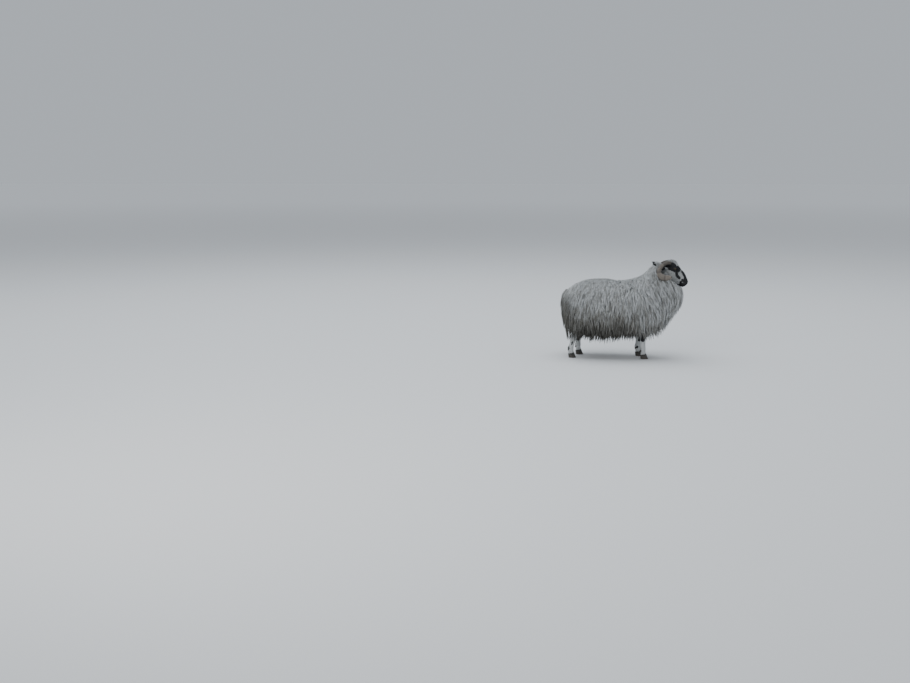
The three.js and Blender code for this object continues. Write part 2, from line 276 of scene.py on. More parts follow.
# %% [markdown]
# ## The body under the wool
#
# A ewe in full fleece looks like a barrel to the ground, but her body is half as deep. It is lofted from
# the rump to the back of the head, well inside the CAD's outline. Upper legs and tail are lofts too. They
# overlap it, and one pass of voxel remeshing melds them, so that no seam shows where limb meets trunk.

# %% Trunk and neck
# [back x, back z, belly x, belly z, half width], millimetres in the drawing.
BODY_STATIONS = [
    [-456, 470, -448, 400, 46],
    [-438, 528, -430, 335, 96],
    [-398, 564, -400, 296, 132],
    [-330, 582, -330, 282, 152],
    [-240, 590, -240, 274, 164],
    [-150, 590, -145, 268, 168],
    [-60, 584, -40, 270, 163],
    [10, 584, 60, 280, 150],
    [70, 600, 150, 305, 134],
    [118, 622, 232, 348, 116],
    [156, 652, 296, 408, 98],
    [190, 684, 342, 466, 82],
    [218, 714, 366, 516, 70],
    [246, 738, 376, 556, 62],
    [276, 748, 372, 588, 56],
]
BODY_FULLNESS = 2.3


def body_ring(t, count=48):
    back_x, back_z, belly_x, belly_z, half = along(BODY_STATIONS, t) * MM
    back, belly = np.array([back_x, 0, back_z]), np.array([belly_x, 0, belly_z])
    rise, side = np.cos(turns(count)), np.sin(turns(count))
    middle, upward = (back + belly) / 2 + SHIFT, (back - belly) / 2
    return (
        middle
        + np.outer(power(rise, 2 / BODY_FULLNESS), upward)
        + np.outer(power(side, 2 / BODY_FULLNESS) * half, OUT)
    )


trunk_shape = loft([body_ring(t) for t in np.linspace(0, 1, 50)])
print("trunk and neck:", len(trunk_shape.faces), "faces")

# %% Legs, from the coronet of the hoof up into the body
# [height, half depth fore and aft, half width]
FOOT = [[104, 19.5, 17], [82, 22, 20], [64, 20, 19], [48, 20.5, 19.5], [39, 20.5, 19.5], [33, 12, 11]]
FRONT_LEG = [
    [430, 84, 46],
    [350, 62, 38],
    [296, 36, 28],
    [250, 25, 21],
    [208, 24, 20],
    [176, 23, 19],
    [140, 20, 17],
    *FOOT,
]
HIND_LEG = [
    [450, 100, 54],
    [370, 84, 46],
    [300, 48, 30],
    [240, 29, 19],
    [204, 25, 17],
    [172, 24, 18.5],
    [140, 20.5, 17],
    *FOOT,
]
# Where each leg stands: the middle of its foot, how far its top leans ahead of that, and how far out it is.
STANCE = {
    "front_right": dict(leg=FRONT_LEG, side=-1, foot=148, lean=-2, out=-78),
    "front_left": dict(leg=FRONT_LEG, side=1, foot=108, lean=10, out=76),
    "hind_right": dict(leg=HIND_LEG, side=-1, foot=-424, lean=44, out=-92),
    "hind_left": dict(leg=HIND_LEG, side=1, foot=-374, lean=8, out=90),
}
PASTERN_TOP, CORONET = 80, 36  # heights
PASTERN_SLOPE = 9  # how far ahead of the cannon the foot's middle lies
CORONET_TILT = 0.28  # the hoof's upper edge rises this much for each millimetre forward
CORONET_BACK = 5  # how far behind the foot's middle the skin enters the hoof
LEAN_TOP = 245  # height at which a leg has its full lean
TENDON_GROOVE, TENDON_PLACE, TENDON_WIDTH = 0.11, 0.42, 0.26  # shares of the section
CLEFT_DEPTH, CLEFT_WIDTH = 0.17, 0.24


def leg_ring(stance, t):
    """One section of a leg, with a groove before the tendons and a cleft between the toes."""
    height, deep, wide = along(stance["leg"], t)
    below = 1 - smooth(height, CORONET, PASTERN_TOP)
    leaning = max((height - PASTERN_TOP) / (LEAN_TOP - PASTERN_TOP), 0)
    x = stance["foot"] - PASTERN_SLOPE * (1 - below) - CORONET_BACK * below + stance["lean"] * leaning
    forward, sideways = np.cos(turns(32)), np.sin(turns(32))
    cannon = smooth(height, 88, 112) * (1 - smooth(height, 185, 225))
    tendons = TENDON_GROOVE * cannon * np.exp(-(((forward + TENDON_PLACE) / TENDON_WIDTH) ** 2))
    toes = 1 - smooth(height, 46, 68)
    size = 1 - tendons - CLEFT_DEPTH * toes * np.exp(-((sideways / CLEFT_WIDTH) ** 2))
    across = deep * forward * size
    out = stance["out"] + wide * sideways * size
    rise = height + CORONET_TILT * below * across
    return np.stack([x + across, out, rise], axis=-1) * MM + SHIFT


def leg_shape(stance):
    return loft([leg_ring(stance, t) for t in np.linspace(0, 1, 64)])


# %% The tail, under its wool
TAIL_PATH = [  # [x, z, out, half width, half depth]
    [-440, 528, 0, 22, 20],
    [-468, 492, 0, 21, 17],
    [-478, 446, 0, 18, 14],
    [-480, 390, 0, 15, 12],
    [-474, 330, 0, 11, 9],
    [-468, 282, 0, 5, 4],
]


def tail_section(t):
    half, deep = along(TAIL_PATH, t)[3:]
    return deep * np.cos(turns(16)), half * np.sin(turns(16))


tail_shape = loft(sweep(TAIL_PATH, 18, 1, OUT, tail_section))

# %% Trunk and tail become one body
BODY_VOXEL = 9 * MM
skin = make_object("skin", trunk_shape, tail_shape)
worked_in(skin, "REMESH", mode="VOXEL", voxel_size=BODY_VOXEL)
worked_in(skin, "SMOOTH", factor=0.5, iterations=8)
wool_bearing_skin = skin.data.copy()
print("body:", triangles_in(skin), "triangles")

# %% [markdown]
# ## The head
#
# The head gets the most care. Its big forms are a loft with the same sections as the CAD: a Roman nose, deep
# cheeks and a narrow muzzle. Brows, the swelling round each horn and the rims of the eyes are spheres, and
# the ears thin cupped lofts. One voxel remesh turns them into a single clay-like surface. Everything finer
# is then stroked on, as a sculptor does: a stroke follows a line over the surface, and raises it or presses
# it in, less and less towards the stroke's edge.

# %% Sections of the head
HEAD_STATIONS = [  # [back from the lips, top, widest line, bottom, half width]
    [0, 11, -9, -31, 20],
    [8, 22, -4, -41, 30],
    [24, 30, 0, -50, 35.5],
    [44, 38, 3, -58, 37],
    [64, 45, 6, -67, 39.5],
    [84, 49, 11, -77, 45],
    [104, 49, 16, -86, 52],
    [124, 51, 21, -92, 59],
    [145, 55, 25, -95, 64.5],
    [166, 61, 26, -94, 66],
    [186, 65, 22, -88, 63],
    [206, 59, 12, -76, 57],
    [224, 46, 2, -60, 47],
    [238, 28, -6, -42, 34],
]
HAIR_DEPTH = 1.6 * MM  # the skin lies this far inside the outline
MUZZLE_POLE = (-5, -10)  # back and up
FACE_FULLNESS, JAW_TAPER = 2.2, 1.75


def head_ring(back, top, widest, bottom, half, count=72):
    rise, side = np.cos(turns(count)), np.sin(turns(count))
    exponent = 2 / np.where(rise > 0, FACE_FULLNESS, JAW_TAPER)
    reach = np.where(rise > 0, top - widest, widest - bottom)
    return on_head(back, widest + reach * power(rise, exponent), half * power(side, exponent))


def head_rings():
    """The muzzle's rounded front, then the sections from the lips to the back of the skull."""
    first = head_ring(*HEAD_STATIONS[0])
    pole = on_head(*MUZZLE_POLE, 0)
    for size in (0.2, 0.5, 0.74, 0.9):
        bulge = (1 - math.sqrt(1 - size**2)) * BACK * -MUZZLE_POLE[0] * MM
        flat = first - np.outer((first - pole) @ BACK, BACK)
        yield pole + (flat - pole) * size + bulge
    for t in np.linspace(0, 1, 74):
        yield head_ring(*along(HEAD_STATIONS, t))


# %% Brows, horn roots and the rims of the eyes
def ball(centre, radius, detail=24):
    shape = bmesh.new()
    made = bmesh.ops.create_uvsphere(shape, u_segments=detail, v_segments=detail // 2, radius=radius)
    bmesh.ops.translate(shape, verts=made["verts"], vec=Vector(centre))
    return shape


LID = 2.2 * MM  # thickness of the lids
BROW = (164, 33, 48, 18)  # back, up, out and radius
HORN_SWELLING = (338, 755, 40, 21)  # x, z, out and radius of the flesh round a horn's root


def face_lumps(side):
    back, up, out, radius = BROW
    yield ball(on_head(back, up, side * out), radius * MM)
    x, z, out, radius = (number * MM for number in HORN_SWELLING)
    yield ball(np.array([x, side * out, z]) + SHIFT, radius)
    yield ball(EYES[side], EYE_RADIUS + LID + HAIR_DEPTH, 40)


# %% Ears, directed back behind the horns
EAR_PATH = [  # [x, z, out, width]
    [318, 719, 49, 22],
    [296, 728, 60, 32],
    [267, 739, 70, 39],
    [238, 750, 79, 35],
    [212, 758, 87, 23],
    [199, 761.5, 91, 12],
    [192, 763, 93, 3],
]
EAR_WALL, EAR_CUP = 4.2, 9.0  # thickness, and how far the edges curl outwards


def ear_section(t):
    half = along(EAR_PATH, t)[3] / 2
    across, round_ = np.cos(turns(32)), np.sin(turns(32))
    cup = EAR_CUP * (half / 20) * across**2 - 2
    return half * across, cup + EAR_WALL / 2 * round_ * min(1, half / 8)


def ear_shape(side):
    return loft(sweep(EAR_PATH, 40, side, (0, side, 0), ear_section))


# %% The head's big forms in one surface
HEAD_VOXEL = 1.5 * MM
head_shapes = [loft(list(head_rings()))]
for side in SIDES.values():
    head_shapes += [*face_lumps(side), ear_shape(side)]
head = make_object("head_form", *head_shapes)
worked_in(head, "REMESH", mode="VOXEL", voxel_size=HEAD_VOXEL * 1.25)
worked_in(head, "SMOOTH", factor=0.5, iterations=5)
print("head, rough:", triangles_in(head), "triangles")


# %% Strokes that raise or press in the surface
def distance_to_path(points, path):
    """Distance from each point to a line through the path's points."""
    nearest = np.full(len(points), np.inf)
    for start, end in zip(path, path[1:]):
        run = end - start
        share = np.clip((points - start) @ run / (run @ run), 0, 1)
        nearest = np.minimum(nearest, np.linalg.norm(points - start - share[:, None] * run, axis=1))
    return nearest


def dropped_on(mesh, path):
    """The path's points moved to the nearest point of the surface."""
    tree = search_tree(mesh)
    return np.array([tree.find_nearest(Vector(point))[0] for point in path])


def stroke(mesh, path, radius, height):
    """Raises the surface by height along a path given on the head, on both sides, fading at radius."""
    points, normals = points_of(mesh), points_of(mesh, "normal")
    for side in SIDES.values():
        line = dropped_on(mesh, [on_head(back, up, out * side) for back, up, out in path])
        reach = distance_to_path(points, line) / (radius * MM)
        points += normals * (height * MM * np.clip(1 - reach**2, 0, 1) ** 2)[:, None]
        if max(out for _, _, out in path) == 0:
            break
    move_points(mesh, points)


# %% Broad forms: jaw, cheeks, nose and lips
# Each: what it is, radius, height, and its line as [back, up, out] in millimetres.
BROAD_STROKES = [
    ("ridge below the eye", 10, 2.6, [(150, -6, 62), (120, -8, 54), (92, -10, 46)]),
    ("hollow before the eye", 13, -3.2, [(134, 12, 56), (106, 10, 50)]),
    ("tear pit", 6, -2.6, [(139, 12, 58), (135, 8, 58)]),
    ("hollow behind the mouth", 17, -3.4, [(90, -34, 42), (108, -54, 46)]),
    ("cheek muscle", 36, 3.0, [(150, -38, 60), (168, -58, 56)]),
    ("hollow between the jaws", 15, -6, [(56, -72, 0), (100, -90, 0), (150, -98, 0)]),
    ("temple", 14, -3.6, [(186, 4, 62), (198, 14, 58)]),
    ("dip between the brows", 20, -1.8, [(176, 64, 0), (160, 58, 0)]),
    ("side of the nose", 14, -1.8, [(52, 14, 36), (92, 22, 42)]),
    ("upper lip", 13, 2.0, [(4, -8, 20), (26, -10, 34), (46, -12, 36)]),
    ("chin", 13, 2.6, [(8, -38, 6), (12, -40, 12)]),
    ("below the mouth", 12, -2.4, [(16, -36, 26), (40, -42, 30), (60, -48, 34)]),
    ("wing of the nostril", 9, 2.2, [(4, 8, 17), (14, 18, 22), (22, 16, 26)]),
]
for _, radius, height, line in BROAD_STROKES:
    stroke(head.data, line, radius, height)
print(len(BROAD_STROKES), "broad strokes")

# %% [markdown]
# ## Lids
#
# A ewe's lids are two folds of skin a couple of millimetres thick that slide over the eyeball and meet in a
# pointed corner towards the nose. Here a ball a little larger than the eye was already part of the head.
# Cutting out the eyeball's own ball leaves a shell of the lids' thickness, and cutting an almond-shaped cone
# through it opens the eye. A second, finer remesh rounds the cut edges.

# %% Cutting the sockets and opening the lids
GAZE_BACK, GAZE_UP = -0.34, 0.06  # the eyes look out to the side and a little ahead
ALMOND = (1.8, 0.56)  # half length and half height of the opening, as slopes from the gaze
ALMOND_SLANT = 0.22  # the long axis is nearer to level than the nose is


def eye_axes(side):
    """Unit vectors of an eye: the way it looks, its long axis towards the nose, and its short axis."""
    gaze = unit(BACK * GAZE_BACK + UP * GAZE_UP + OUT * side)
    corner = -BACK + UP * ALMOND_SLANT
    corner = unit(corner - gaze * (corner @ gaze))
    return gaze, corner, unit(np.cross(gaze, corner) * -side)


def almond_rings(side, eye):
    gaze, corner, lift = eye_axes(side)
    angle = turns(40)
    across = np.cos(angle) * np.where(np.cos(angle) > 0, 1.12, 1.0)
    height = power(np.sin(angle), 1.25) * np.where(np.sin(angle) > 0, 1.12, 0.88)
    ring = gaze + np.outer(across * ALMOND[0], corner) + np.outer(height * ALMOND[1], lift)
    for away in (0.1, 0.4, 0.7, 1.0, 1.3, 1.6):
        yield eye + ring * EYE_RADIUS * away


SOCKET_GAP = 0.25 * MM
for side, eye in EYES.items():
    combine(head, make_object("socket", ball(eye, EYE_RADIUS + SOCKET_GAP, 48)), "DIFFERENCE")
    combine(head, make_object("almond", loft(list(almond_rings(side, eye)))), "DIFFERENCE")
worked_in(head, "REMESH", mode="VOXEL", voxel_size=HEAD_VOXEL)
worked_in(head, "SMOOTH", factor=0.35, iterations=1)
print("head, fine:", triangles_in(head), "triangles")

# %% Nostrils, mouth and creases
MOUTH_CORNER = [(24, -23, 33), (44, -26, 36), (60, -29, 38)]
FINE_STROKES = [
    ("nostril", 4.4, -4.6, [(-3, -2, 6), (1, 6, 13), (7, 13, 18), (15, 19, 22), (22, 18, 25)]),
    ("depth of the nostril", 3.2, -4.0, [(2, 7, 14), (8, 13, 19), (14, 17, 22)]),
    ("split of the lip", 2.8, -2.2, [(-5, -15, 0), (-4, -6, 0), (-2, 2, 0)]),
    ("mouth", 2.8, -3.4, [(-4, -17, 0), (0, -19, 14), (8, -21, 25), *MOUTH_CORNER]),
    ("corner of the mouth", 4.5, -1.6, [(58, -29, 38), (63, -31, 39)]),
    ("lip edge", 3.2, 0.9, [(2, -14, 17), (10, -16, 27), (26, -18, 34), (46, -20, 36)]),
    ("crease of the nose", 3.0, -0.9, [(20, 4, 32), (34, -4, 36), (46, -12, 37)]),
    ("wrinkle of the nose", 3.0, -0.7, [(30, 16, 32), (42, 8, 36), (52, -2, 38)]),
    ("cheek fold", 4.0, -0.9, [(70, -24, 41), (84, -34, 42), (96, -50, 42)]),
]
for _, radius, height, line in FINE_STROKES:
    stroke(head.data, line, radius, height)
print(len(FINE_STROKES), "fine strokes")

# %% Folds round the eyes
# Each: its distance from the eye's middle and its width, both in sizes of the opening, its height in
# millimetres, and whether it lies above the eye only.
EYE_FOLDS = [
    (1.28, 0.3, 0.9, False),
    (1.85, 0.3, -1.6, True),
    (2.5, 0.5, 1.3, True),
    (2.2, 0.35, -0.8, False),
]
FOLDS_REACH = 2.2  # eye radii
SETTLING = 0.6  # the skin sinks by this share of the hair's depth, to leave room for the tufts


def ring_round_eye(side, size, thickness, height, top_only):
    """A fold or a rim at a distance round the eye's opening, pressed in or raised."""
    mesh = head.data
    points, normals = points_of(mesh), points_of(mesh, "normal")
    gaze, corner, lift = eye_axes(side)
    away = points - EYES[side]
    near = np.linalg.norm(away, axis=1) < EYE_RADIUS * FOLDS_REACH
    depth = np.maximum(away @ gaze, 1 * MM)
    x, y = away @ corner / depth / ALMOND[0], away @ lift / depth / ALMOND[1]
    ahead = away @ gaze > 2 * MM
    reach = np.abs(np.hypot(x, y) - size) / thickness
    weight = np.clip(1 - reach**2, 0, 1) ** 2 * near * ahead
    if top_only:
        weight *= smooth(y, -0.2, 0.7)
    points += normals * (height * MM * weight)[:, None]
    move_points(mesh, points)


for side in SIDES.values():
    for fold in EYE_FOLDS:
        ring_round_eye(side, *fold)
points = points_of(head.data) - points_of(head.data, "normal") * HAIR_DEPTH * SETTLING
move_points(head.data, points)
print(len(EYE_FOLDS), "folds round each eye")

# %% Head, body and legs become one skin
combine(skin, head, "UNION")
for stance in STANCE.values():
    combine(skin, make_object("leg_form", leg_shape(stance)), "UNION")
legs = ["leg_" + name for name in STANCE]
belongs(skin, "face_hair", "trunk", "neck", "head", "tail", "ear_right", "ear_left", *legs)
print("skin:", triangles_in(skin), "triangles")

# %% [markdown]
# ## Eyes
#
# A sheep's eye is a dark amber ball with a clear bulge in front and a pupil that is a slot along the eye's
# long axis. The ball starts as a sphere whose pole is turned to the way the ewe looks. The points round that
# pole are pushed out a little, which gives the cornea its highlight.

# %% Eyeballs
CORNEA_BULGE = 1.3 * MM
CORNEA_ANGLE = math.radians(44)


def eyeball(name, side):
    gaze = Vector(eye_axes(side)[0])
    shape = bmesh.new()
    bmesh.ops.create_uvsphere(shape, u_segments=64, v_segments=48, radius=EYE_RADIUS)
    turn = Vector((0, 0, 1)).rotation_difference(gaze).to_matrix()
    bmesh.ops.rotate(shape, verts=shape.verts, cent=Vector(), matrix=turn)
    for vert in shape.verts:
        angle = vert.co.angle(gaze)
        vert.co += gaze * CORNEA_BULGE * (1 - float(smooth(angle, 0, CORNEA_ANGLE)))
    bmesh.ops.translate(shape, verts=shape.verts, vec=Vector(EYES[side]))
    return belongs(make_object("eyeball_" + name, shape), "eye", "eye_" + name)


eyeballs = {name: eyeball(name, side) for name, side in SIDES.items()}
print("eyeballs:", [len(piece.data.polygons) for piece in eyeballs.values()], "faces")

# %% [markdown]
# ## Horns
#
# A horn grows a little each month, and each year's growth ends in a deep ring, so it is ridged at its root
# and smooth at its tip. The sweep follows the CAD's path: out from the poll, back, down and round beside the
# cheek. The section is a rounded triangle with its sharpest edge in front, and its size swells and shrinks
# along the path to raise the ridges.

# %% Horns
# [x, z, distance from the middle, width in the curl, thickness across it]
HORN_PATH = [
    [356, 729, 12, 30, 30],
    [345, 755, 34, 35, 35],
    [318, 765, 58, 34, 34],
    [287, 757, 83, 33, 33],
    [260, 733, 104, 33, 32],
    [247, 703, 119, 36, 31],
    [255, 677, 130, 44, 29],
    [278, 661, 138, 50, 26],
    [306, 657, 144, 46, 23],
    [328, 660, 149, 35, 18],
    [344, 666, 153, 13, 9],
]
HORN_STEPS, HORN_RING = 300, 44
YEAR_RINGS, MONTH_RINGS = 5, 34
YEAR_CROWDING, MONTH_CROWDING = 0.8, 0.7  # below 1, rings lie closer together towards the tip
YEAR_DEPTH, MONTH_DEPTH = 0.11, 0.07  # of the thickness
YEAR_SHARPNESS, MONTH_SHARPNESS = 0.35, 1.5  # exponents of the grooves' shapes
UNEVEN, UNEVEN_TURN = 1.3, 17  # some months grow more than others: by how much, and how often along the horn
WORN_TIP = 0.7  # the share of the rings' depth that is worn away at the tip
HORN_EDGE = 0.07  # how far the section's keel stands out


def horn_section(t):
    width, thickness = along(HORN_PATH, t)[3:]
    turn = turns(HORN_RING)
    year = abs(math.sin(math.pi * YEAR_RINGS * t**YEAR_CROWDING)) ** YEAR_SHARPNESS
    uneven = UNEVEN * math.sin(UNEVEN_TURN * t)
    month = math.sin(2 * math.pi * MONTH_RINGS * t**MONTH_CROWDING + uneven)
    fading = 1 - WORN_TIP * float(smooth(t, 0.5, 0.98))
    ridges = YEAR_DEPTH * (1 - year) + MONTH_DEPTH * (0.5 + 0.5 * month) ** MONTH_SHARPNESS
    size = 1.01 - fading * ridges
    keel = 1 + HORN_EDGE * np.cos(3 * turn) * (1 - float(smooth(t, 0.7, 1)))
    size = size * keel / (1 + HORN_EDGE * 0.5)
    return width / 2 * size * np.cos(turn), thickness / 2 * size * np.sin(turn)


def horn(name, side):
    rings = sweep(HORN_PATH, HORN_STEPS, side, (0, side, 0.001), horn_section)
    piece = make_object("horn_sheath_" + name, loft(rings))
    along_path = np.repeat(np.linspace(0, 1, HORN_STEPS + 1), HORN_RING)
    store(piece.data, "lengthways", np.resize(along_path, len(piece.data.vertices)))
    # How far each point faces down: the horn's finish paints shade there.
    store(piece.data, "under", smooth(-points_of(piece.data, "normal")[:, 2], -0.1, 0.8))
    return belongs(piece, "horn", "horn_" + name)


horns = {name: horn(name, side) for name, side in SIDES.items()}
print("horns:", triangles_in(*horns.values()), "triangles")

# %% [markdown]
# ## Hooves
#
# Each foot has two claws, flat where they face each other, and two dewclaws behind the fetlock. A claw is
# lofted from its sole upwards: each section is half an almond, and it shrinks and slides back with height to
# slope the toe. The sole's edge is rounded by one smaller section below it, as walking wears it.

# %% Claws
CLAW = dict(height=36, length=60, width=21, split=1.8, toe=0.6)
CLAW_SHORTER, CLAW_SLIMMER = 0.22, 0.06  # shares of length and width that are lost up to the top
CLAW_WORN, CLAW_HOLLOW = 0.05, 0.07  # shares taken off the sole's edge, and off the wall half-way up
CLAW_CURVE, CLAW_INSIDE = 0.9, 0.6  # exponent of the outer side's curve, and bulge of the flat face
CLAW_LEVELS = (0, 0.03, 0.08, 0.2, 0.35, 0.5, 0.65, 0.8, 0.9, 1.0, 1.08)
CLAW_ROUND, CLAW_FLAT = 28, 9  # points round the outside, and along the flat face
CLAW_AHEAD, CLAW_SLIDE = 5, 11  # its middle lies this far ahead of the foot's, and slides back by this much


def towards(stance, which):
    """The sign of Y from the middle of a foot to its outer or its inner claw."""
    return stance["side"] if which == "outer" else -stance["side"]


def claw_ring(stance, away, rise):
    worn = 1 - CLAW_WORN * (1 - float(smooth(rise, 0, 0.08)))
    length = CLAW["length"] / 2 * (1 - CLAW_SHORTER * rise) * worn
    width = CLAW["width"] * (1 - CLAW_SLIMMER * rise) * worn
    angle = np.linspace(0, math.pi, CLAW_ROUND)
    ahead = np.cos(angle)
    narrowing = 1 - (1 - CLAW["toe"]) * np.maximum(ahead, 0)
    hollow = 1 - CLAW_HOLLOW * math.sin(math.pi * min(rise, 1))
    x, reach = length * ahead, np.sin(angle) ** CLAW_CURVE * width * narrowing * hollow
    back = np.linspace(1, 0, CLAW_FLAT + 2)[1:-1]
    x = np.concatenate([x, x[0] + (x[-1] - x[0]) * back])
    reach = np.concatenate([reach, CLAW_INSIDE * np.sin(math.pi * back)])
    place = stance["foot"] + CLAW_AHEAD - CLAW_SLIDE * rise + x
    out = stance["out"] + away * (CLAW["split"] + reach)
    height = rise * (CLAW["height"] + CORONET_TILT * x)
    return np.stack([place, out, height], axis=-1) * MM + SHIFT


def claw(foot, which):
    stance = STANCE[foot]
    rings = [claw_ring(stance, towards(stance, which), rise) for rise in CLAW_LEVELS]
    return belongs(make_object(f"hoof_{foot}_{which}", loft(rings)), "hoof", f"claw_{foot}_{which}")


# %% Dewclaws
DEWCLAW = dict(height=66, radius=7, back=17, out=10.5, length=1.45, flatness=0.9, point=0.45, tilt=0.5)


def dewclaw(foot, which):
    stance = STANCE[foot]
    x = stance["foot"] - PASTERN_SLOPE - DEWCLAW["back"]
    centre = np.array([x, stance["out"] + towards(stance, which) * DEWCLAW["out"], DEWCLAW["height"]])
    shape = ball((0, 0, 0), DEWCLAW["radius"] * MM, 20)
    for vert in shape.verts:
        slim = 1 - DEWCLAW["point"] * float(smooth(-vert.co.z / MM, 0, DEWCLAW["radius"]))
        vert.co *= Vector((slim, slim * DEWCLAW["flatness"], DEWCLAW["length"]))
    tilt = Matrix.Rotation(DEWCLAW["tilt"], 3, "Y")
    bmesh.ops.rotate(shape, verts=shape.verts, cent=Vector(), matrix=tilt)
    bmesh.ops.translate(shape, verts=shape.verts, vec=Vector(centre * MM + SHIFT))
    piece = make_object(f"hoof_{foot}_{which}_dewclaw", shape)
    return belongs(piece, "hoof", f"dewclaw_{foot}_{which}")


hooves = [make(foot, which) for foot in STANCE for which in ("outer", "inner") for make in (claw, dewclaw)]
print("hooves:", len(hooves), "pieces")

# %% [markdown]
# ## Finishes
#
# A finish is a small program of nodes. Writing it as arithmetic keeps it short: the class below stands for a
# number on its way between two nodes, so that `1 - mask` or `height * 2` adds the Math node by itself. All
# patterns are read in the frame's own metres, or from an attribute stored on the points.


# %% Arithmetic on shader values
def adds_node(operation, reflected=False):
    """The method that an operator of Python's calls to add one Math node."""

    def method(wire, other):
        inputs = (other, wire) if reflected else (wire, other)
        return wire.finish.node("Math", dict(operation=operation), *inputs)

    return method


class Wire:
    """A value on its way between nodes. Arithmetic on it adds Math nodes."""

    __add__ = __radd__ = adds_node("ADD")
    __sub__, __rsub__ = adds_node("SUBTRACT"), adds_node("SUBTRACT", reflected=True)
    __mul__ = __rmul__ = adds_node("MULTIPLY")
    __truediv__, __pow__ = adds_node("DIVIDE"), adds_node("POWER")

    def __init__(self, finish, socket):
        self.finish, self.socket = finish, socket

    def ramped(self, low, high):
        """Climbs smoothly from 0 at low to 1 at high."""
        settings = dict(interpolation_type="SMOOTHSTEP")
        return self.finish.node("MapRange", settings, self, low, high, 0.0, 1.0)


# %% A material that is built node by node
class Finish:
    """A material being built. Colours are linear red, green and blue."""

    def __init__(self, name, **surface):
        self.material = bpy.data.materials.new(name)
        self.material.use_nodes = True
        self.tree = self.material.node_tree
        self.surface = self.tree.nodes["Principled BSDF"]
        for socket, value in surface.items():
            self.surface.inputs[socket.replace("_", " ")].default_value = value
        self.object = Wire(self, self.tree.nodes.new("ShaderNodeTexCoord").outputs["Object"])

    def node(self, kind, settings, *inputs, output=0, **named):
        """Adds a node: its settings first, then its sockets' values or links, in order or by name."""
        node = self.tree.nodes.new("ShaderNode" + kind)
        for key, setting in settings.items():
            setattr(node, key, setting)
        enabled = [socket for socket in node.inputs if socket.enabled]
        pairs = list(zip(enabled, inputs))
        pairs += [(node.inputs[key.replace("_", " ")], value) for key, value in named.items()]
        for socket, value in pairs:
            if isinstance(value, Wire):
                self.tree.links.new(value.socket, socket)
            else:
                socket.default_value = value
        outputs = [socket for socket in node.outputs if socket.enabled]
        return Wire(self, outputs[output])

    def attribute(self, name):
        return self.node("Attribute", dict(attribute_name=name), output=2)

    def mix(self, share, first, second):
        first, second = (c if isinstance(c, Wire) else (*c, 1.0) for c in (first, second))
        return self.node("Mix", dict(data_type="RGBA"), share, first, second)

    def layers(self, colour, *coats):
        """A colour with others laid over it, each given as how much of it covers, and its own colour."""
        for share, coat in coats:
            colour = self.mix(share, colour, coat)
        return colour

    def part(self, axis):
        """How far ahead (0), to the left (1) or up (2) the point lies, in metres."""
        return self.node("SeparateXYZ", {}, self.object, output=axis)

    def wave(self, turn):
        return self.node("Math", dict(operation="SINE"), turn)

    def noise(self, scale, detail, stretch=(1, 1, 1), turn=(0, 0, 0), roughness=0.5):
        place = self.node("Mapping", {}, self.object, Rotation=turn, Scale=stretch)
        return self.node("TexNoise", {}, place, Scale=scale, Detail=detail, Roughness=roughness)

    def noise_at(self, x, y, z, detail):
        """Noise whose place is three numbers that the surface itself carries."""
        return self.node("TexNoise", {}, self.node("CombineXYZ", {}, x, y, z), Scale=1.0, Detail=detail)

    def bump(self, height, distance, strength=1.0):
        normal = self.node("Bump", {}, Height=height, Distance=distance, Strength=strength)
        self.tree.links.new(normal.socket, self.surface.inputs["Normal"])

    def feed(self, name, wire):
        self.tree.links.new(wire.socket, self.surface.inputs[name])

    def put_on(self, *pieces):
        for piece in pieces:
            piece.data.materials.clear()
            piece.data.materials.append(self.material)


# %% [markdown]
# ## Markings
#
# The ewe's face is mottled. A black patch holds the eye and runs up to the horn, a black bar curves down the
# cheek, a black line follows the bridge of the nose into a black muzzle, and between bar and bridge the nose
# is white. Along the horn's inner edge, in its crook, along the jaw's lower edge and high on the right
# foreleg, the marks are dark hair and painted shade together. Each mark is a line with a width on the head's
# side view.
# Every point of skin and of hair stores how deep inside a mark it lies, so both carry the same pattern, and
# noise in the finish frays its edges.

# %% Dark marks on face and ears
# Half width, and the middle line as [back, up], in millimetres.
FACE_MARKS_AND_SHADE = [
    (24, [(136, 30), (158, 21), (188, 22)]),
    (20, [(150, 13), (184, -2), (204, 4)]),
    (13, [(200, -6), (224, -16)]),
    # Along the horn's inner edge: dark hair, with painted shade from the horn above.
    (13, [(222, 10), (234, -12), (234, -40), (228, -60)]),
    (10.5, [(128, 8), (114, -3), (98, -9), (80, -9)]),
    (11, [(95, 43), (84, 44), (66, 36), (44, 27), (26, 22)]),
    (3, [(126, 51), (98, 50)]),
    (41, [(14, -6), (14, -12)]),
    (8, [(52, 2), (44, -2)]),
    # Along the jaw's lower edge: dark hair, with painted shade under the jaw.
    (17, [(26, -38), (20, -34)]),
    # In the crook of the horn: the ear root's dark hair, with painted shade of the hollow.
    (5, [(38, -44), (52, -57)]),
    (15, [(216, -46), (228, -58)]),
    (16, [(288, -78), (316, -90)]),
]
PALE_MARKS = [(7, [(24, -11), (32, -16)])]
MINGLED = 3.0  # so little inside the dark mark that pale hairs mingle with the dark
MARK_LIMIT = 24.0  # millimetres


def depth_in(marks, across, along_):
    flat = np.stack([across, along_], axis=-1)
    depths = [width - distance_to_path(flat, np.array(line, float)) for width, line in marks]
    return np.max(depths, axis=0)


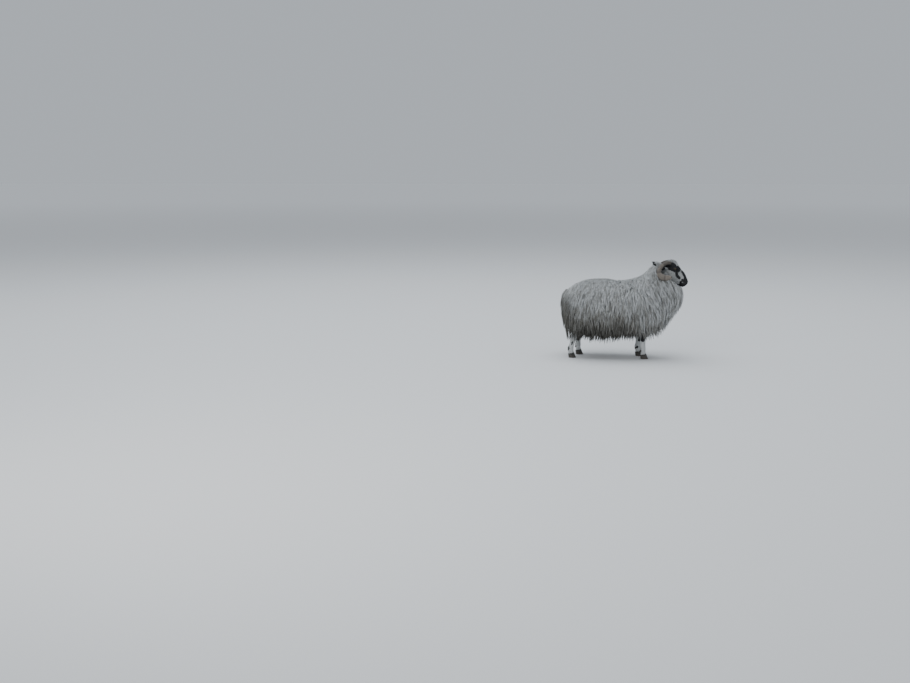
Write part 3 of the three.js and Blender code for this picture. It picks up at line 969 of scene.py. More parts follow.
# %% Dark marks on the legs
# Half width, and the middle line as [x, height] in drawing millimetres, with the leg's name.
LEG_MARKS_AND_SHADE = {
    # High on the right foreleg, just below the fleece, the marks are dark hair and painted shade together.
    "front_right": [(17, [(140, 196), (136, 156)]), (10, [(158, 206), (156, 190)])],
    "front_left": [(12, [(116, 150), (112, 132)]), (7, [(96, 78), (96, 70)])],
    "hind_right": [(7, [(-450, 88), (-446, 76)]), (6, [(-420, 128), (-424, 112)])],
    "hind_left": [(9, [(-384, 140), (-380, 124)])],
}
LEG_REACH = 70  # a mark's points lie no further than this ahead of or behind the foot
FACE_FROM = 0.5  # metres: above this height a point belongs to the head


def drawing_xz(points):
    """Millimetres ahead and up in the drawing of the ewe, for points in the frame."""
    return (points[..., 0] - SHIFT[0]) / MM, points[..., 2] / MM


def dark_depth(points):
    """Millimetres inside a dark mark for each point, below 0 outside."""
    back, up, _ = head_sizes(points)
    pale = np.maximum(-depth_in(PALE_MARKS, back, up), MINGLED)
    face = np.minimum(depth_in(FACE_MARKS_AND_SHADE, back, up), pale)
    x, height = drawing_xz(points)
    legs = np.full(len(points), -MARK_LIMIT)
    for name, marks in LEG_MARKS_AND_SHADE.items():
        stance = STANCE[name]
        here = (points[:, 1] * stance["side"] > 0) & (np.abs(x - stance["foot"]) < LEG_REACH)
        legs = np.where(here, depth_in(marks, x, height), legs)
    depth = np.where(points[:, 2] > FACE_FROM, face, legs)
    return np.clip(depth, -MARK_LIMIT, MARK_LIMIT)


skin_depth = dark_depth(points_of(skin.data))
store(skin.data, "dark", skin_depth)
print("marked skin points:", (skin_depth > 0).sum())

# %% Short hair, on the skin and in tufts
PALE_HAIR, GREY_HAIR, BLACK_HAIR = (0.42, 0.425, 0.42), (0.20, 0.195, 0.19), (0.012, 0.012, 0.014)
LEG_HAIR = (0.62, 0.63, 0.625)


def hair_colour(finish):
    """Pale, grey-mottled and black hair, with frayed edges, and where the black is."""
    fray = (finish.noise(60, 3) - 0.5) * 16 + (finish.noise(210, 2) - 0.5) * 12  # millimetres
    black = (finish.attribute("dark") + fray).ramped(-1.6, 1.6)
    on_face = finish.part(2).ramped(0.3, 0.5)
    mottle = finish.noise(95, 4).ramped(0.52, 0.66) * (0.2 + on_face * 0.35)
    fleck = finish.noise(160, 2).ramped(0.66, 0.72) * 0.5
    dark = finish.mix(fleck, BLACK_HAIR, GREY_HAIR)
    return finish.layers(LEG_HAIR, (on_face, PALE_HAIR), (mottle, GREY_HAIR), (black, dark)), black


finish = Finish("short hair on skin", Roughness=0.7, Specular_IOR_Level=0.3)
colour, black = hair_colour(finish)
finish.feed("Base Color", colour)
finish.feed("Roughness", 0.78 - black * 0.22)
strands = finish.noise(900, 2, (0.22, 1, 1), (0, PITCH, 0))
finish.bump(strands + finish.noise(2200, 2) * 0.4, 0.0007)
finish.put_on(skin)

# %% Eyes: amber round a slot of a pupil, with a wet coat
PUPIL = (4.6, 1.7)  # half length and half height, millimetres
IRIS_RADIUS = 9.2


def eye_finish(name, side):
    """The iris is drawn by how far a point lies from the eye's axis, along its long and short axes."""
    finish = Finish("wet eye " + name, Roughness=0.06, Coat_Weight=0.25, Coat_Roughness=0.02, IOR=1.38)
    away = finish.node("VectorMath", dict(operation="SUBTRACT"), finish.object, tuple(EYES[side]))

    def measured(axis):
        dot = finish.node("VectorMath", dict(operation="DOT_PRODUCT"), away, tuple(axis), output=0)
        return dot * (1 / MM)

    _, corner, lift = eye_axes(side)
    x, y = measured(corner), measured(lift)
    radius = (x * x + y * y) ** 0.5 / IRIS_RADIUS
    around_slot = ((x / PUPIL[0]) ** 4 + (y / PUPIL[1]) ** 4).ramped(0.8, 1.25)
    fibres = finish.noise(420, 3).ramped(0.35, 0.7)
    amber, dark_rim = (0.110, 0.090, 0.050), (0.016, 0.011, 0.007)
    iris = finish.layers((0.040, 0.033, 0.018), (fibres, amber), (radius.ramped(0.72, 1.0), dark_rim))
    white = (radius.ramped(1.02, 1.14), (0.07, 0.055, 0.045))
    finish.feed("Base Color", finish.layers((0.002, 0.002, 0.003), (around_slot, iris), white))
    return finish


for name, side in SIDES.items():
    eye_finish(name, side).put_on(eyeballs[name])

# %% Horn: warm grey-brown keratin with dark rings, worn paler towards the tip, darker near the root from grime, with painted shade underneath
finish = Finish("ridged horn", Roughness=0.5, Coat_Weight=0.06, Coat_Roughness=0.3)
length, under = finish.attribute("lengthways"), finish.attribute("under")
months = finish.wave(length**MONTH_CROWDING * (2 * math.pi * MONTH_RINGS))
years = finish.wave(length**YEAR_CROWDING * (math.pi * YEAR_RINGS))
blotches = finish.noise(38, 4)
lines = finish.noise_at(length * 190, blotches * 3, 0.0, 3.0)
# Painted shade: the underside, facing down, is darker, and the root's underside darkest; near the root some
# grime darkens it all round.
underside_shade_and_grime = 1 - (1 - under * 0.7) * (0.6 + length.ramped(0.15, 0.42) * 0.4)
root_shade = under.ramped(0.05, 0.45) * (1 - length.ramped(0.22, 0.40)) * 0.9
month_rings = (months * -0.5 + 0.5) ** 2 * 0.6 * (1 - length * 0.6)
worn = length.ramped(0.35, 0.6) * 0.28 + length.ramped(0.75, 1.0) * 0.2
year_grooves = (1 - (years * years).ramped(0.0, 0.16)) * 0.55
colour = finish.layers(
    (0.096, 0.080, 0.065),
    (blotches.ramped(0.35, 0.68), (0.168, 0.141, 0.117)),
    (underside_shade_and_grime, (0.028, 0.025, 0.022)),
    (root_shade, (0.016, 0.015, 0.015)),
    (month_rings, (0.06, 0.048, 0.038)),
    (lines.ramped(0.5, 0.75) * 0.5, (0.065, 0.050, 0.038)),
    (worn, (0.33, 0.285, 0.24)),
    (year_grooves, (0.045, 0.037, 0.030)),
)
finish.feed("Base Color", colour)
finish.feed("Roughness", 0.42 + blotches * 0.3)
finish.bump(lines * 1.2 + months * 0.5 + finish.noise(900, 2) * 0.3, 0.0012)
finish.put_on(*horns.values())

# %% Hoof: dark slate brown, with level growth lines and a scuffed, earthy rim
finish = Finish("hoof horn", Roughness=0.5)
lines = finish.noise(260, 2, (0.15, 0.15, 1))
scuffs = finish.noise(180, 4, roughness=0.65).ramped(0.5, 0.75)
colour = finish.layers(
    (0.024, 0.022, 0.020),
    (lines.ramped(0.35, 0.65), (0.068, 0.060, 0.051)),
    (scuffs * 0.6, (0.13, 0.115, 0.095)),
    ((1 - finish.part(2).ramped(0.0, 0.014)) * 0.6, (0.12, 0.10, 0.08)),
)
finish.feed("Base Color", colour)
finish.feed("Roughness", 0.45 + scuffs * 0.35)
finish.bump(lines + scuffs * 0.5, 0.0006)
finish.put_on(*hooves)
print("finishes so far:", [material.name for material in bpy.data.materials if material.users])

# %% [markdown]
# ## The fleece
#
# The wool of a hill ewe hangs in long pointed locks. Each lock is a bundle of fine strands that grow from a
# hand's breadth of skin, run together towards the tip, and lie over the locks below like thatch. The CAD's
# trunk, neck and tail say how far out the wool reaches, so the tips are spread over a copy of their outline.
# From each tip a path is walked back against the lie of the wool and then sinks to the skin. One broad flat
# strand and seven fine ones follow it, each a closed spike with three sides. Hair curves would be easier to
# make, but they aren't solid.

# %% The outline of the wool, as one smooth surface
OUTLINE_VOXEL = 7 * MM


def merged_copy(*nodes):
    for node in nodes:
        shape = bmesh.new()
        shape.from_mesh(frame["nodes"][node].data)
        bmesh.ops.remove_doubles(shape, verts=shape.verts, dist=0.02 * MM)
        yield shape


outline = make_object("outline_of_the_wool", *merged_copy("trunk", "neck", "tail"))
worked_in(outline, "REMESH", mode="VOXEL", voxel_size=OUTLINE_VOXEL)
worked_in(outline, "SMOOTH", factor=0.5, iterations=4)
print("outline:", triangles_in(outline), "triangles")


# %% Dropping points onto a surface
class Surface:
    """A mesh that many points at once can be measured against."""

    def __init__(self, mesh):
        self.mesh = mesh
        self.points = points_of(mesh)
        self.tree = search_tree(mesh)

    def nearest(self, points):
        """The nearest places on the surface, and the directions it faces there."""
        found = [self.tree.find_nearest(point)[:2] for point in map(Vector, points.reshape(-1, 3))]
        places, normals = (np.array(column).reshape(points.shape) for column in zip(*found))
        return places, normals

    def height_of(self, points):
        """How far each point lies above the surface, below 0 inside it."""
        places, normals = self.nearest(points)
        return ((points - places) * normals).sum(axis=-1)

    def blocked(self, points, normals, reach):
        """Whether the surface stands within reach in front of each point."""
        pairs = zip(points, normals)
        return np.array([self.tree.ray_cast(Vector(p), Vector(n), reach)[0] is not None for p, n in pairs])

    def scattered(self, tries, spacing, rng, where=None):
        """Points spread evenly: random ones, less any nearer to an earlier one than its spacing."""
        self.mesh.calc_loop_triangles()
        corners = np.array([triangle.vertices[:] for triangle in self.mesh.loop_triangles])
        a, b, c = (self.points[corners[:, k]] for k in range(3))
        facing = np.cross(b - a, c - a)
        area = np.linalg.norm(facing, axis=1)
        if where:
            area *= where((a + b + c) / 3)
        pick = rng.choice(len(area), tries, p=area / area.sum())
        f, g = rng.random((2, tries, 1))
        f, g = np.where(f + g > 1, 1 - f, f), np.where(f + g > 1, 1 - g, g)
        points = a[pick] + (b - a)[pick] * f + (c - a)[pick] * g
        normals = unit(facing[pick])
        gap = spacing(points, normals)
        kept = thinned(points, gap)
        return points[kept], normals[kept]


# %% Thinning points to an even spread
def thinned(points, gap):
    """Indices of points that keep their distance from the ones kept before them."""
    cell = float(gap.max())
    cells = {}
    kept = []
    keys = np.floor(points / cell).astype(int).tolist()
    for index, (point, room, (i, j, k)) in enumerate(zip(points.tolist(), gap.tolist(), keys)):
        around = itertools.product((i - 1, i, i + 1), (j - 1, j, j + 1), (k - 1, k, k + 1))
        if all(math.dist(point, other) >= room for key in around for other in cells.get(key, ())):
            cells.setdefault((i, j, k), []).append(point)
            kept.append(index)
    return np.array(kept)


wool_outline, skin_surface = Surface(outline.data), Surface(skin.data)
wool_bearing = Surface(wool_bearing_skin)

# %% [markdown]
# ### The lie of the wool
#
# Wool parts along the spine and falls down both sides. Over the shoulder and neck it sweeps forward as it
# falls, below the breast it is drawn back between the legs, and at the rump it hangs straight. Lengths differ
# too: short and fine on the back of the neck and along the spine, a hand long on the flank.


# %% Which way the wool lies
# How far it leans from straight down, for each unit of fall.
FORWARD_OVER_SHOULDER, BACK_UNDER_BREAST, BACK_AT_RUMP = 0.42, 0.85, 0.12
ON_TOP, BELOW = (-0.3, 1.3), (-0.6, 0.2)  # ahead and outwards, where it lies on the back and under the belly


def lie_of_wool(points, normals, side):
    x, z = drawing_xz(points)
    shoulder = smooth(x, 10, 190) * (1 - smooth(x, 340, 430)) * smooth(z, 300, 430)
    breast = smooth(x, 250, 380) * (1 - smooth(z, 370, 520))
    rump = 1 - smooth(x, -480, -410)
    lean = FORWARD_OVER_SHOULDER * shoulder - BACK_UNDER_BREAST * breast - BACK_AT_RUMP * rump
    lean += 0.07 * np.sin(x / 31 + z / 57) + 0.05 * np.sin(x / 13 - z / 23)  # slow, small changes of mind
    fall = np.stack([lean, 0 * lean, -np.ones_like(lean)], axis=-1)
    top, under = smooth(normals[:, 2], 0.3, 0.95), smooth(-normals[:, 2], 0.35, 0.9)
    for share, (ahead, out) in ((top, ON_TOP), (under, BELOW)):
        fall += share[:, None] * np.stack([ahead + 0 * x, out * side, 0 * x], axis=-1)
    return unit(fall - normals * (fall * normals).sum(axis=-1, keepdims=True))


# %% How long and how dense it is, in millimetres
FLANK_LENGTH, SHORTER_ON_TOP, BELLY_LENGTH = 165, 75, 26
FLANK_SPACING, CLOSER_ON_TOP, WIDER_BELOW = 12.8, 3.6, 3.2
NECK_SHORTER, NECK_CLOSER = 0.42, 0.22  # shares
# At the parting no lock is longer than this, with so much more for each millimetre to the side. Away from
# the top the limit is lifted.
PARTING_LENGTH, PARTING_SLOPE, LIFTED = 42, 1.1, 300


def top_share(normals):
    return smooth(normals[:, 2], 0.25, 0.9)


def under_share(normals):
    return smooth(-normals[:, 2], 0.3, 0.8)


def neck_share(points):
    """1 on the upper neck, where the wool is short and fine, and 0 on the body."""
    x, z = drawing_xz(points)
    return smooth(x, 130, 290) * smooth(z, 480, 620)


def lock_length(points, normals):
    length = FLANK_LENGTH - SHORTER_ON_TOP * top_share(normals)
    length *= 1 - NECK_SHORTER * neck_share(points)
    off_top = 1 - smooth(normals[:, 2], 0.25, 0.6)
    to_parting = PARTING_SLOPE * np.abs(points[:, 1]) / MM + PARTING_LENGTH + LIFTED * off_top
    under = under_share(normals)
    return (np.minimum(length, to_parting) * (1 - under) + BELLY_LENGTH * under) * MM


def lock_spacing(points, normals):
    spacing = FLANK_SPACING - CLOSER_ON_TOP * top_share(normals) + WIDER_BELOW * under_share(normals)
    return spacing * (1 - NECK_CLOSER * neck_share(points)) * MM


# %% Tips of the locks
rng = np.random.default_rng(1773)
LOCK_TRIES = 42000
HEAD_CLEARANCE, HORN_CLEARANCE = 10 * MM, 4 * MM
tips, tip_normals = wool_outline.scattered(LOCK_TRIES, lock_spacing, rng)
open_air = ~skin_surface.blocked(tips + tip_normals * MM, tip_normals, HEAD_CLEARANCE)
tips, tip_normals = tips[open_air], tip_normals[open_air]
print("locks:", len(tips))

# %% Where no lock may pass
CROOK_OF_HORN = [(18, [(214, -24), (232, -52), (210, -66)])]  # half width and line, on the head's axes


def in_crook(points):
    """Behind the jaw, in the crook of the horn, the wool stays short and dark hair shows, with the hollow's
    shade painted on it.
    """
    back, up, _ = head_sizes(points)
    return (depth_in(CROOK_OF_HORN, back, up) > 0) & (points[:, 2] > FACE_FROM)


# %% Walking each lock back from its tip
LOCK_STEPS = 6
PARTING_WANDER, PARTING_WAVE = 12 * MM, 0.045  # how far the parting strays, and over what length in metres
OWN_TURN = 0.085  # how far a lock strays from the lie of its neighbours, in radians


def walked_back(ends, normals, lengths):
    """Places and normals from root to tip, for paths that end at the given points."""
    places, facings = [ends], [normals]
    turn = rng.normal(0, OWN_TURN, len(ends))[:, None]
    side = np.sign(ends[:, 1] + PARTING_WANDER * np.sin(ends[:, 0] / PARTING_WAVE))
    limit = rng.uniform(-PARTING_WANDER, PARTING_WANDER, len(ends))
    for _ in range(LOCK_STEPS):
        here, normal = places[-1], facings[-1]
        fall = lie_of_wool(here, normal, side)
        fall = unit(fall + turn * np.cross(normal, fall))
        back = here - fall * (lengths / LOCK_STEPS)[:, None]
        back[:, 1] = side * np.maximum(back[:, 1] * side, limit)
        place, normal = wool_outline.nearest(back)
        places.append(place)
        facings.append(normal)
    return np.stack(places[::-1], axis=1), np.stack(facings[::-1], axis=1)


# %% Sinking its root to the skin, and letting its tip hang
ROOT_DEPTH = 4 * MM
SHALLOW_TIP, DEEPER_TIP = 1.5, 7.5  # tips end this far inside the outline, and up to this much deeper
HEM_HANG, HEM_UNEVEN = 8, 28  # at the hem they hang this much lower, and up to this much lower again
BREECHES_HANG = 46  # behind the thighs they hang lower still
SMOOTH_BACK, SHAGGY_HEM = 0.55, 1.6  # factors on the tips' depths
ROOT_CURVE, TOP_CURVE = 2.0, 1.4  # exponents: the higher, the sooner a path nears the outline
HEM_STRAIGHT = 0.8  # the share by which locks at the hem fall straight, not in under the belly


def sunk(places, facings):
    """The paths with their roots drawn in to the skin and their tips a little below the outline."""
    t = np.linspace(0, 1, LOCK_STEPS + 1)[None, :, None]
    roots, root_normals = wool_bearing.nearest(places[:, 0])
    roots -= root_normals * ROOT_DEPTH
    x, z = drawing_xz(places[:, -1])
    top, under = top_share(facings[:, -1]), under_share(facings[:, -1])
    low = 1 - smooth(z, 160, 300)
    widest = np.sign(places[..., 1]) * np.maximum.accumulate(np.abs(places[..., 1]), axis=1)
    places[..., 1] += (widest - places[..., 1]) * (low * (1 - under))[:, None] * HEM_STRAIGHT
    rough = SMOOTH_BACK + SHAGGY_HEM * (1 - smooth(z, 230, 480)) * (1 - under)
    dip = (SHALLOW_TIP + DEEPER_TIP * rng.random(len(places)) ** 1.6) * rough * MM
    bend = (ROOT_CURVE + TOP_CURVE * top - under)[:, None, None]
    path = places + (roots - places[:, 0])[:, None, :] * (1 - t) ** bend
    path -= facings * dip[:, None, None] * np.sqrt(t)
    breeches = smooth(-x, 350, 420) * (1 - smooth(z, 240, 360))
    hang = low * (HEM_HANG + HEM_UNEVEN * rng.random(len(places)) ** 1.5) + BREECHES_HANG * breeches
    path[..., 2] -= (hang * MM)[:, None] * t[..., 0] ** 2
    return path, roots


# %% Locks that run clear of horns and face
SHARPEST_BEND = 0.2  # cosine of the sharpest turn a lock may take
ROOT_SHOWS = -1 * MM  # a root higher over the skin than this would show
horn_surfaces = [Surface(piece.data) for piece in horns.values()]


def locks_to(tips, normals):
    """Paths, normals and roots of the locks with these tips, less those that foul a horn or hook back."""
    lengths = lock_length(tips, normals) * rng.uniform(0.8, 1.15, len(tips))
    places, facings = walked_back(tips, normals, lengths)
    paths, roots = sunk(places, facings)
    outer_half = range(LOCK_STEPS // 2, LOCK_STEPS + 1)
    heights = [horn.height_of(paths[:, k]) for horn in horn_surfaces for k in outer_half]
    legs_of_path = unit(np.diff(paths, axis=1))
    straightness = (legs_of_path[:, 1:] * legs_of_path[:, :-1]).sum(axis=-1).min(axis=1)
    free = (np.min(heights, axis=0) > HORN_CLEARANCE) & (straightness > SHARPEST_BEND)
    free &= ~np.any([in_crook(paths[:, k]) for k in range(LOCK_STEPS + 1)], axis=0)
    free &= skin_surface.height_of(paths[:, 0]) < ROOT_SHOWS
    return paths[free], facings[free], roots[free]


locks = locks_to(tips, tip_normals)
print("locks clear of the horns:", len(locks[0]))


# %% Finding the gaps that chance has left
SPOT_TRIES, SPOT_SPACING = 26000, 8 * MM
BARE_RADIUS = 6.8 * MM  # a spot with no lock nearer than this shows the dark below
BARE_RADIUS_ON_TOP = 5.3 * MM  # locks on the back are finer
GAP_ROUNDS = 2
PASSING = np.linspace(0.25, 0.85, 14)  # the shares of a lock that cover what lies below
OVERLAP = 0.4  # the share of a lock that hangs below the spot it covers


def sampled(paths, t):
    """Points at shares t along smooth curves through the paths, one row of shares per path."""
    last = paths.shape[1] - 1
    at = np.clip(t, 0, 1) * last
    low = np.minimum(at.astype(int), last - 1)
    row = np.arange(len(paths))[:, None]
    around = (paths[row, np.clip(low + step, 0, last)] for step in (-1, 0, 1, 2))
    return between(*around, (at - low)[..., None])


def bare_spots(paths, points, normals):
    """Which points have no lock passing over them."""
    samples = sampled(paths, np.tile(PASSING, (len(paths), 1))).reshape(-1, 3)
    tree = KDTree(len(samples))
    for index, sample in enumerate(samples.tolist()):
        tree.insert(sample, index)
    tree.balance()
    near = np.array([[index for _, index, _ in tree.find_n(point, 8)] for point in points.tolist()])
    away = samples[near] - points[:, None]
    away -= normals[:, None] * (away * normals[:, None]).sum(axis=-1, keepdims=True)
    radius = BARE_RADIUS + (BARE_RADIUS_ON_TOP - BARE_RADIUS) * top_share(normals)
    return np.linalg.norm(away, axis=-1).min(axis=1) > radius


# %% Filling them
def spot_spacing(points, _):
    return np.full(len(points), SPOT_SPACING)


spots, spot_normals = wool_outline.scattered(SPOT_TRIES, spot_spacing, rng)
may_be_bare = (spot_normals[:, 2] > -0.3) & bare_spots(locks[0], spots, spot_normals)
may_be_bare &= ~skin_surface.blocked(spots + spot_normals * MM, spot_normals, HEAD_CLEARANCE)
spots, spot_normals = spots[may_be_bare], spot_normals[may_be_bare]
for _ in range(GAP_ROUNDS):
    bare = bare_spots(locks[0], spots, spot_normals)
    points, normals = spots[bare], spot_normals[bare]
    fall = lie_of_wool(points, normals, np.sign(points[:, 1]))
    over = points + fall * (lock_length(points, normals) * OVERLAP)[:, None]
    more = locks_to(*wool_outline.nearest(over))
    locks = [np.concatenate(pair) for pair in zip(locks, more)]
    print("bare spots:", bare.sum(), "locks over them:", len(more[0]))
paths, facings, roots = locks

# %% [markdown]
# ### From paths to strands
#
# A strand is a row of three-sided rings along its path, closed by a point at the tip and a face at the root:
# 28 triangles. All strands of a piece become one mesh from arrays, because fifty thousand calls to an
# operator would take hours. Each point stores how far along the strand it is and its lock's own tint.


# %% Spikes as one mesh
STREAK_WIDTH = 3 * MM


def spikes(name, slot, centres, normals, widths, flatness, patches, tints):
    """One mesh of closed three-sided spikes. Centres are (strand, station, xyz), and the last is the tip."""
    flatness = np.reshape(flatness, (-1, 1, 1, 1))
    count, stations = centres.shape[:2]
    ahead = unit(np.gradient(centres, axis=1))
    sideways = unit(np.cross(ahead, normals))
    outward = np.cross(sideways, ahead)
    corner = turns(3) + math.pi / 2
    half = (widths / 2)[..., None, None]
    ring = sideways[:, :-1, None] * np.cos(corner)[:, None]
    ring = ring + outward[:, :-1, None] * np.sin(corner)[:, None] * flatness
    body = centres[:, :-1, None] + ring * half
    verts = np.concatenate([body.reshape(count, -1, 3), centres[:, -1:]], axis=1)
    size, rings = verts.shape[1], stations - 1
    k, m = np.arange(3), (np.arange(3) + 1) % 3
    low = (3 * np.arange(rings - 1))[:, None]
    quads = np.stack([low + k, low + m, low + 3 + m, low + 3 + k], axis=-1).reshape(-1, 4)
    last = 3 * (rings - 1)
    tops = np.stack([last + k, last + m, np.full(3, size - 1)], axis=-1)
    base = np.array([2, 1, 0])
    one = np.concatenate([quads.ravel(), tops.ravel(), base])
    sides = np.array([4] * len(quads) + [3] * 4)
    loops = (one[None] + size * np.arange(count)[:, None]).ravel()
    totals = np.tile(sides, count)
    mesh = bpy.data.meshes.new(name)
    mesh.vertices.add(count * size)
    mesh.vertices.foreach_set("co", verts.ravel())
    mesh.loops.add(len(loops))
    mesh.loops.foreach_set("vertex_index", loops.astype(np.int32))
    mesh.polygons.add(len(totals))
    mesh.polygons.foreach_set("loop_start", np.concatenate([[0], np.cumsum(totals)[:-1]]).astype(np.int32))
    mesh.update(calc_edges=True)
    mesh.shade_smooth()
    share = np.append(np.repeat(np.linspace(0, 1, rings + 1)[:-1], 3), 1.0)
    across = np.append(np.tile([0.0, 0.5, 1.0], rings), 0.5)
    streaks = widths.max(axis=1) / STREAK_WIDTH
    store(mesh, "lengthways", np.tile(share, count))
    store(mesh, "tint", np.repeat(tints, size))
    store(mesh, "around", np.outer(streaks, across).ravel())
    patch = np.stack([across, share], axis=-1) * PATCH
    uv = (patches[:, None] + patch[None]).reshape(-1, 2)[loops]
    mesh.uv_layers.new(name="OFBake").data.foreach_set("uv", uv.ravel().astype(np.float32))
    piece = bpy.data.objects.new(name, mesh)
    bpy.context.collection.objects.link(piece)
    return belongs(piece, slot)


# %% [markdown]
# ### A map of the skin
#
# When colours are baked to a picture, each tuft takes them from a patch three thousandths of the picture
# across, at its root's place on a map of the skin. The map unrolls the skin as it was lofted: the trunk
# round its own middle line, the head round its axis, and each leg and ear round theirs.

# %% Unrolling the skin
PATCH = 0.003
BODY_CHART = (0.02, 0.36, 0.94, 0.62)  # left, bottom, width and height on the map
HEAD_CHART = (0.02, 0.02, 0.34, 0.30)
EAR_CHARTS = {-1: (0.38, 0.02, 0.06, 0.30), 1: (0.45, 0.02, 0.06, 0.30)}
LEG_CHARTS = dict(zip(STANCE, ((0.53 + 0.11 * k, 0.02, 0.09, 0.30) for k in range(4))))


def on_chart(chart, across, upward):
    left, bottom, width, height = chart
    return np.stack([left + width * np.clip(across, 0, 1), bottom + height * np.clip(upward, 0, 1)], axis=-1)


def body_map(points):
    """The share of the way from rump to poll, and the angle round the middle line from the belly up."""
    t = np.linspace(0, 1, 160)
    back_x, back_z, belly_x, belly_z, _ = along(BODY_STATIONS, t).T * MM
    middle = np.stack([(back_x + belly_x) / 2, 0 * t, (back_z + belly_z) / 2], axis=-1) + SHIFT
    upward = unit(np.stack([back_x - belly_x, 0 * t, back_z - belly_z], axis=-1))
    away = points[:, None, :] - middle[None]
    nearest = np.linalg.norm(away, axis=-1).argmin(axis=1)
    row = np.arange(len(points))
    rise = (away[row, nearest] * upward[nearest]).sum(axis=-1)
    angle = np.arctan2(points[:, 1], rise)
    return on_chart(BODY_CHART, t[nearest], angle / (2 * math.pi) + 0.5)


# %% Strands of every lock
STRANDS = 8  # the first of a lock's strands is its core, broad and flat below the others
CORE_SIZE, CORE_FLATNESS, CORE_DEPTH, CORE_LENGTH = 4.2, 0.2, 3.4, 0.8
STRAND_FLATNESS = 0.55
STATIONS = np.array([0, 0.3, 0.54, 0.75, 0.91, 1.0])
STRAND_WIDTHS = np.array([1.8, 2.9, 3.0, 2.5, 1.5])  # millimetres, from the root to near the tip
LOCK_RADIUS, LOCK_THICKNESS = 9.5, 0.55  # millimetres, and its thickness as a share of its width
TIP_WIDTH, FINE_TIP_WIDER = 0.24, 0.4  # a lock's width at its tip, as a share of that at its root
FINE_SLIMMER = 0.3  # how much slimmer locks and strands are on back and neck
WAVE, FRIZZ = 2.6, 0.9  # how far a lock waves, and its strands stray from one another, in millimetres
WAVE_TURN, OWN_WAVE, OWN_WAVE_TURN = 9.5, 0.45, 17  # the turn is in radians from root to tip
WAVE_OUTWARD, FINE_CORE_WIDER = 0.35, 0.25


def strands_of(paths, facings, roots):
    """Centres, normals, widths, flatness, patches and tints of all strands of these locks."""
    lock = np.repeat(np.arange(len(paths)), STRANDS)
    count = len(lock)
    fine = np.maximum(top_share(facings[lock, -1]), neck_share(paths[lock, -1]))[:, None]
    core = (np.arange(count) % STRANDS == 0)[:, None]
    ends = rng.uniform(0.8, 1.0, (count, 1)) * np.where(core, CORE_LENGTH, 1)
    t = STATIONS[None] * ends + rng.uniform(0, 0.02, (count, 1))
    centres, normals = sampled(paths[lock], t), unit(sampled(facings[lock], t))
    ahead = unit(np.gradient(centres, axis=1))
    sideways = unit(np.cross(ahead, normals))
    angle = rng.uniform(0, 2 * math.pi, (count, 1))
    radius = LOCK_RADIUS * np.sqrt(rng.random((count, 1))) * (1 - FINE_SLIMMER * fine) * ~core
    tip_width = TIP_WIDTH + FINE_TIP_WIDER * fine
    spread = radius * (1 - (1 - tip_width) * t**1.4)
    swing = rng.uniform(0, 2 * math.pi, len(paths))[lock][:, None]
    own = rng.uniform(0, 2 * math.pi, (count, 1))
    wave = WAVE * t * (np.sin(WAVE_TURN * t + swing) + OWN_WAVE * np.sin(OWN_WAVE_TURN * t + own))
    frizz = FRIZZ * rng.normal(size=(2, *t.shape)) * np.minimum(t * 2, 1) * ~core
    across = spread * np.cos(angle) + wave + frizz[0]
    outward = spread * np.sin(angle) * LOCK_THICKNESS + WAVE_OUTWARD * wave + frizz[1] - CORE_DEPTH * core
    centres = centres + sideways * across[..., None] * MM + normals * outward[..., None] * MM
    slender = np.where(core, CORE_SIZE * (1 + FINE_CORE_WIDER * fine), 1 - FINE_SLIMMER * fine)
    size = rng.uniform(0.75, 1.25, (count, 1)) * slender
    flatness = np.where(core, CORE_FLATNESS, STRAND_FLATNESS)
    tints = rng.random(len(paths))[lock]
    return centres, normals, STRAND_WIDTHS * size * MM, flatness, body_map(roots)[lock], tints


# %% Pieces of fleece, by region along the body and by side
# Pieces of fleece, each under the limit for one piece
FLEECE_CUTS = {"rump": -600, "loin": -385, "ribs": -215, "girth": -50, "shoulder": 105, "neck": 235}
starts = list(FLEECE_CUTS.values()) + [1000]
fleece = []
tip_x, _ = drawing_xz(paths[:, -1])
for region, (start, end) in zip(FLEECE_CUTS, zip(starts, starts[1:])):
    for name, side in SIDES.items():
        here = (tip_x >= start) & (tip_x < end) & (paths[:, -1, 1] * side > 0)
        title = f"fleece_{region}_{name}"
        fleece.append(spikes(title, "wool", *strands_of(paths[here], facings[here], roots[here])))
        print(title, triangles_in(fleece[-1]), "triangles")

# %% Wool: off-white and greasy, darker low down and at the rump from dirt and painted shade, with paler tips and painted shade at the roots
finish = Finish("hill wool", Roughness=0.85)
lengthways, tint = finish.attribute("lengthways"), finish.attribute("tint")
forward, height = finish.part(0), finish.part(2)
fibres = finish.noise_at(finish.attribute("around") * 5 + tint * 90, lengthways * 1.2, tint, 2.0)
between_fibres = (1 - fibres.ramped(0.3, 0.6)) * 0.4
shoulder_height = height - forward.ramped(0.05, 0.30) * 0.16
streaked = tint.ramped(0.4, 0.95) * (1 - shoulder_height.ramped(0.49, 0.67)) * 0.6
# Uneven edges for the darker bands of dirt and painted shade below.
patchiness = finish.noise(9, 3) * 0.5 + finish.noise(42, 2, (1, 1, 0.25)) * 0.5 - 0.5
level = height + patchiness * 0.2 + (0.5 - tint) * 0.09 + forward.ramped(-0.02, 0.22) * 0.11
# Low on the flank and at the hem the wool darkens: partly dust and mud, partly painted shade under the
# barrel.
low_dust_and_shade = (1 - level.ramped(0.22, 0.54)) * 0.8
hem_mud_and_shade = (1 - level.ramped(0.15, 0.36)) * 0.92
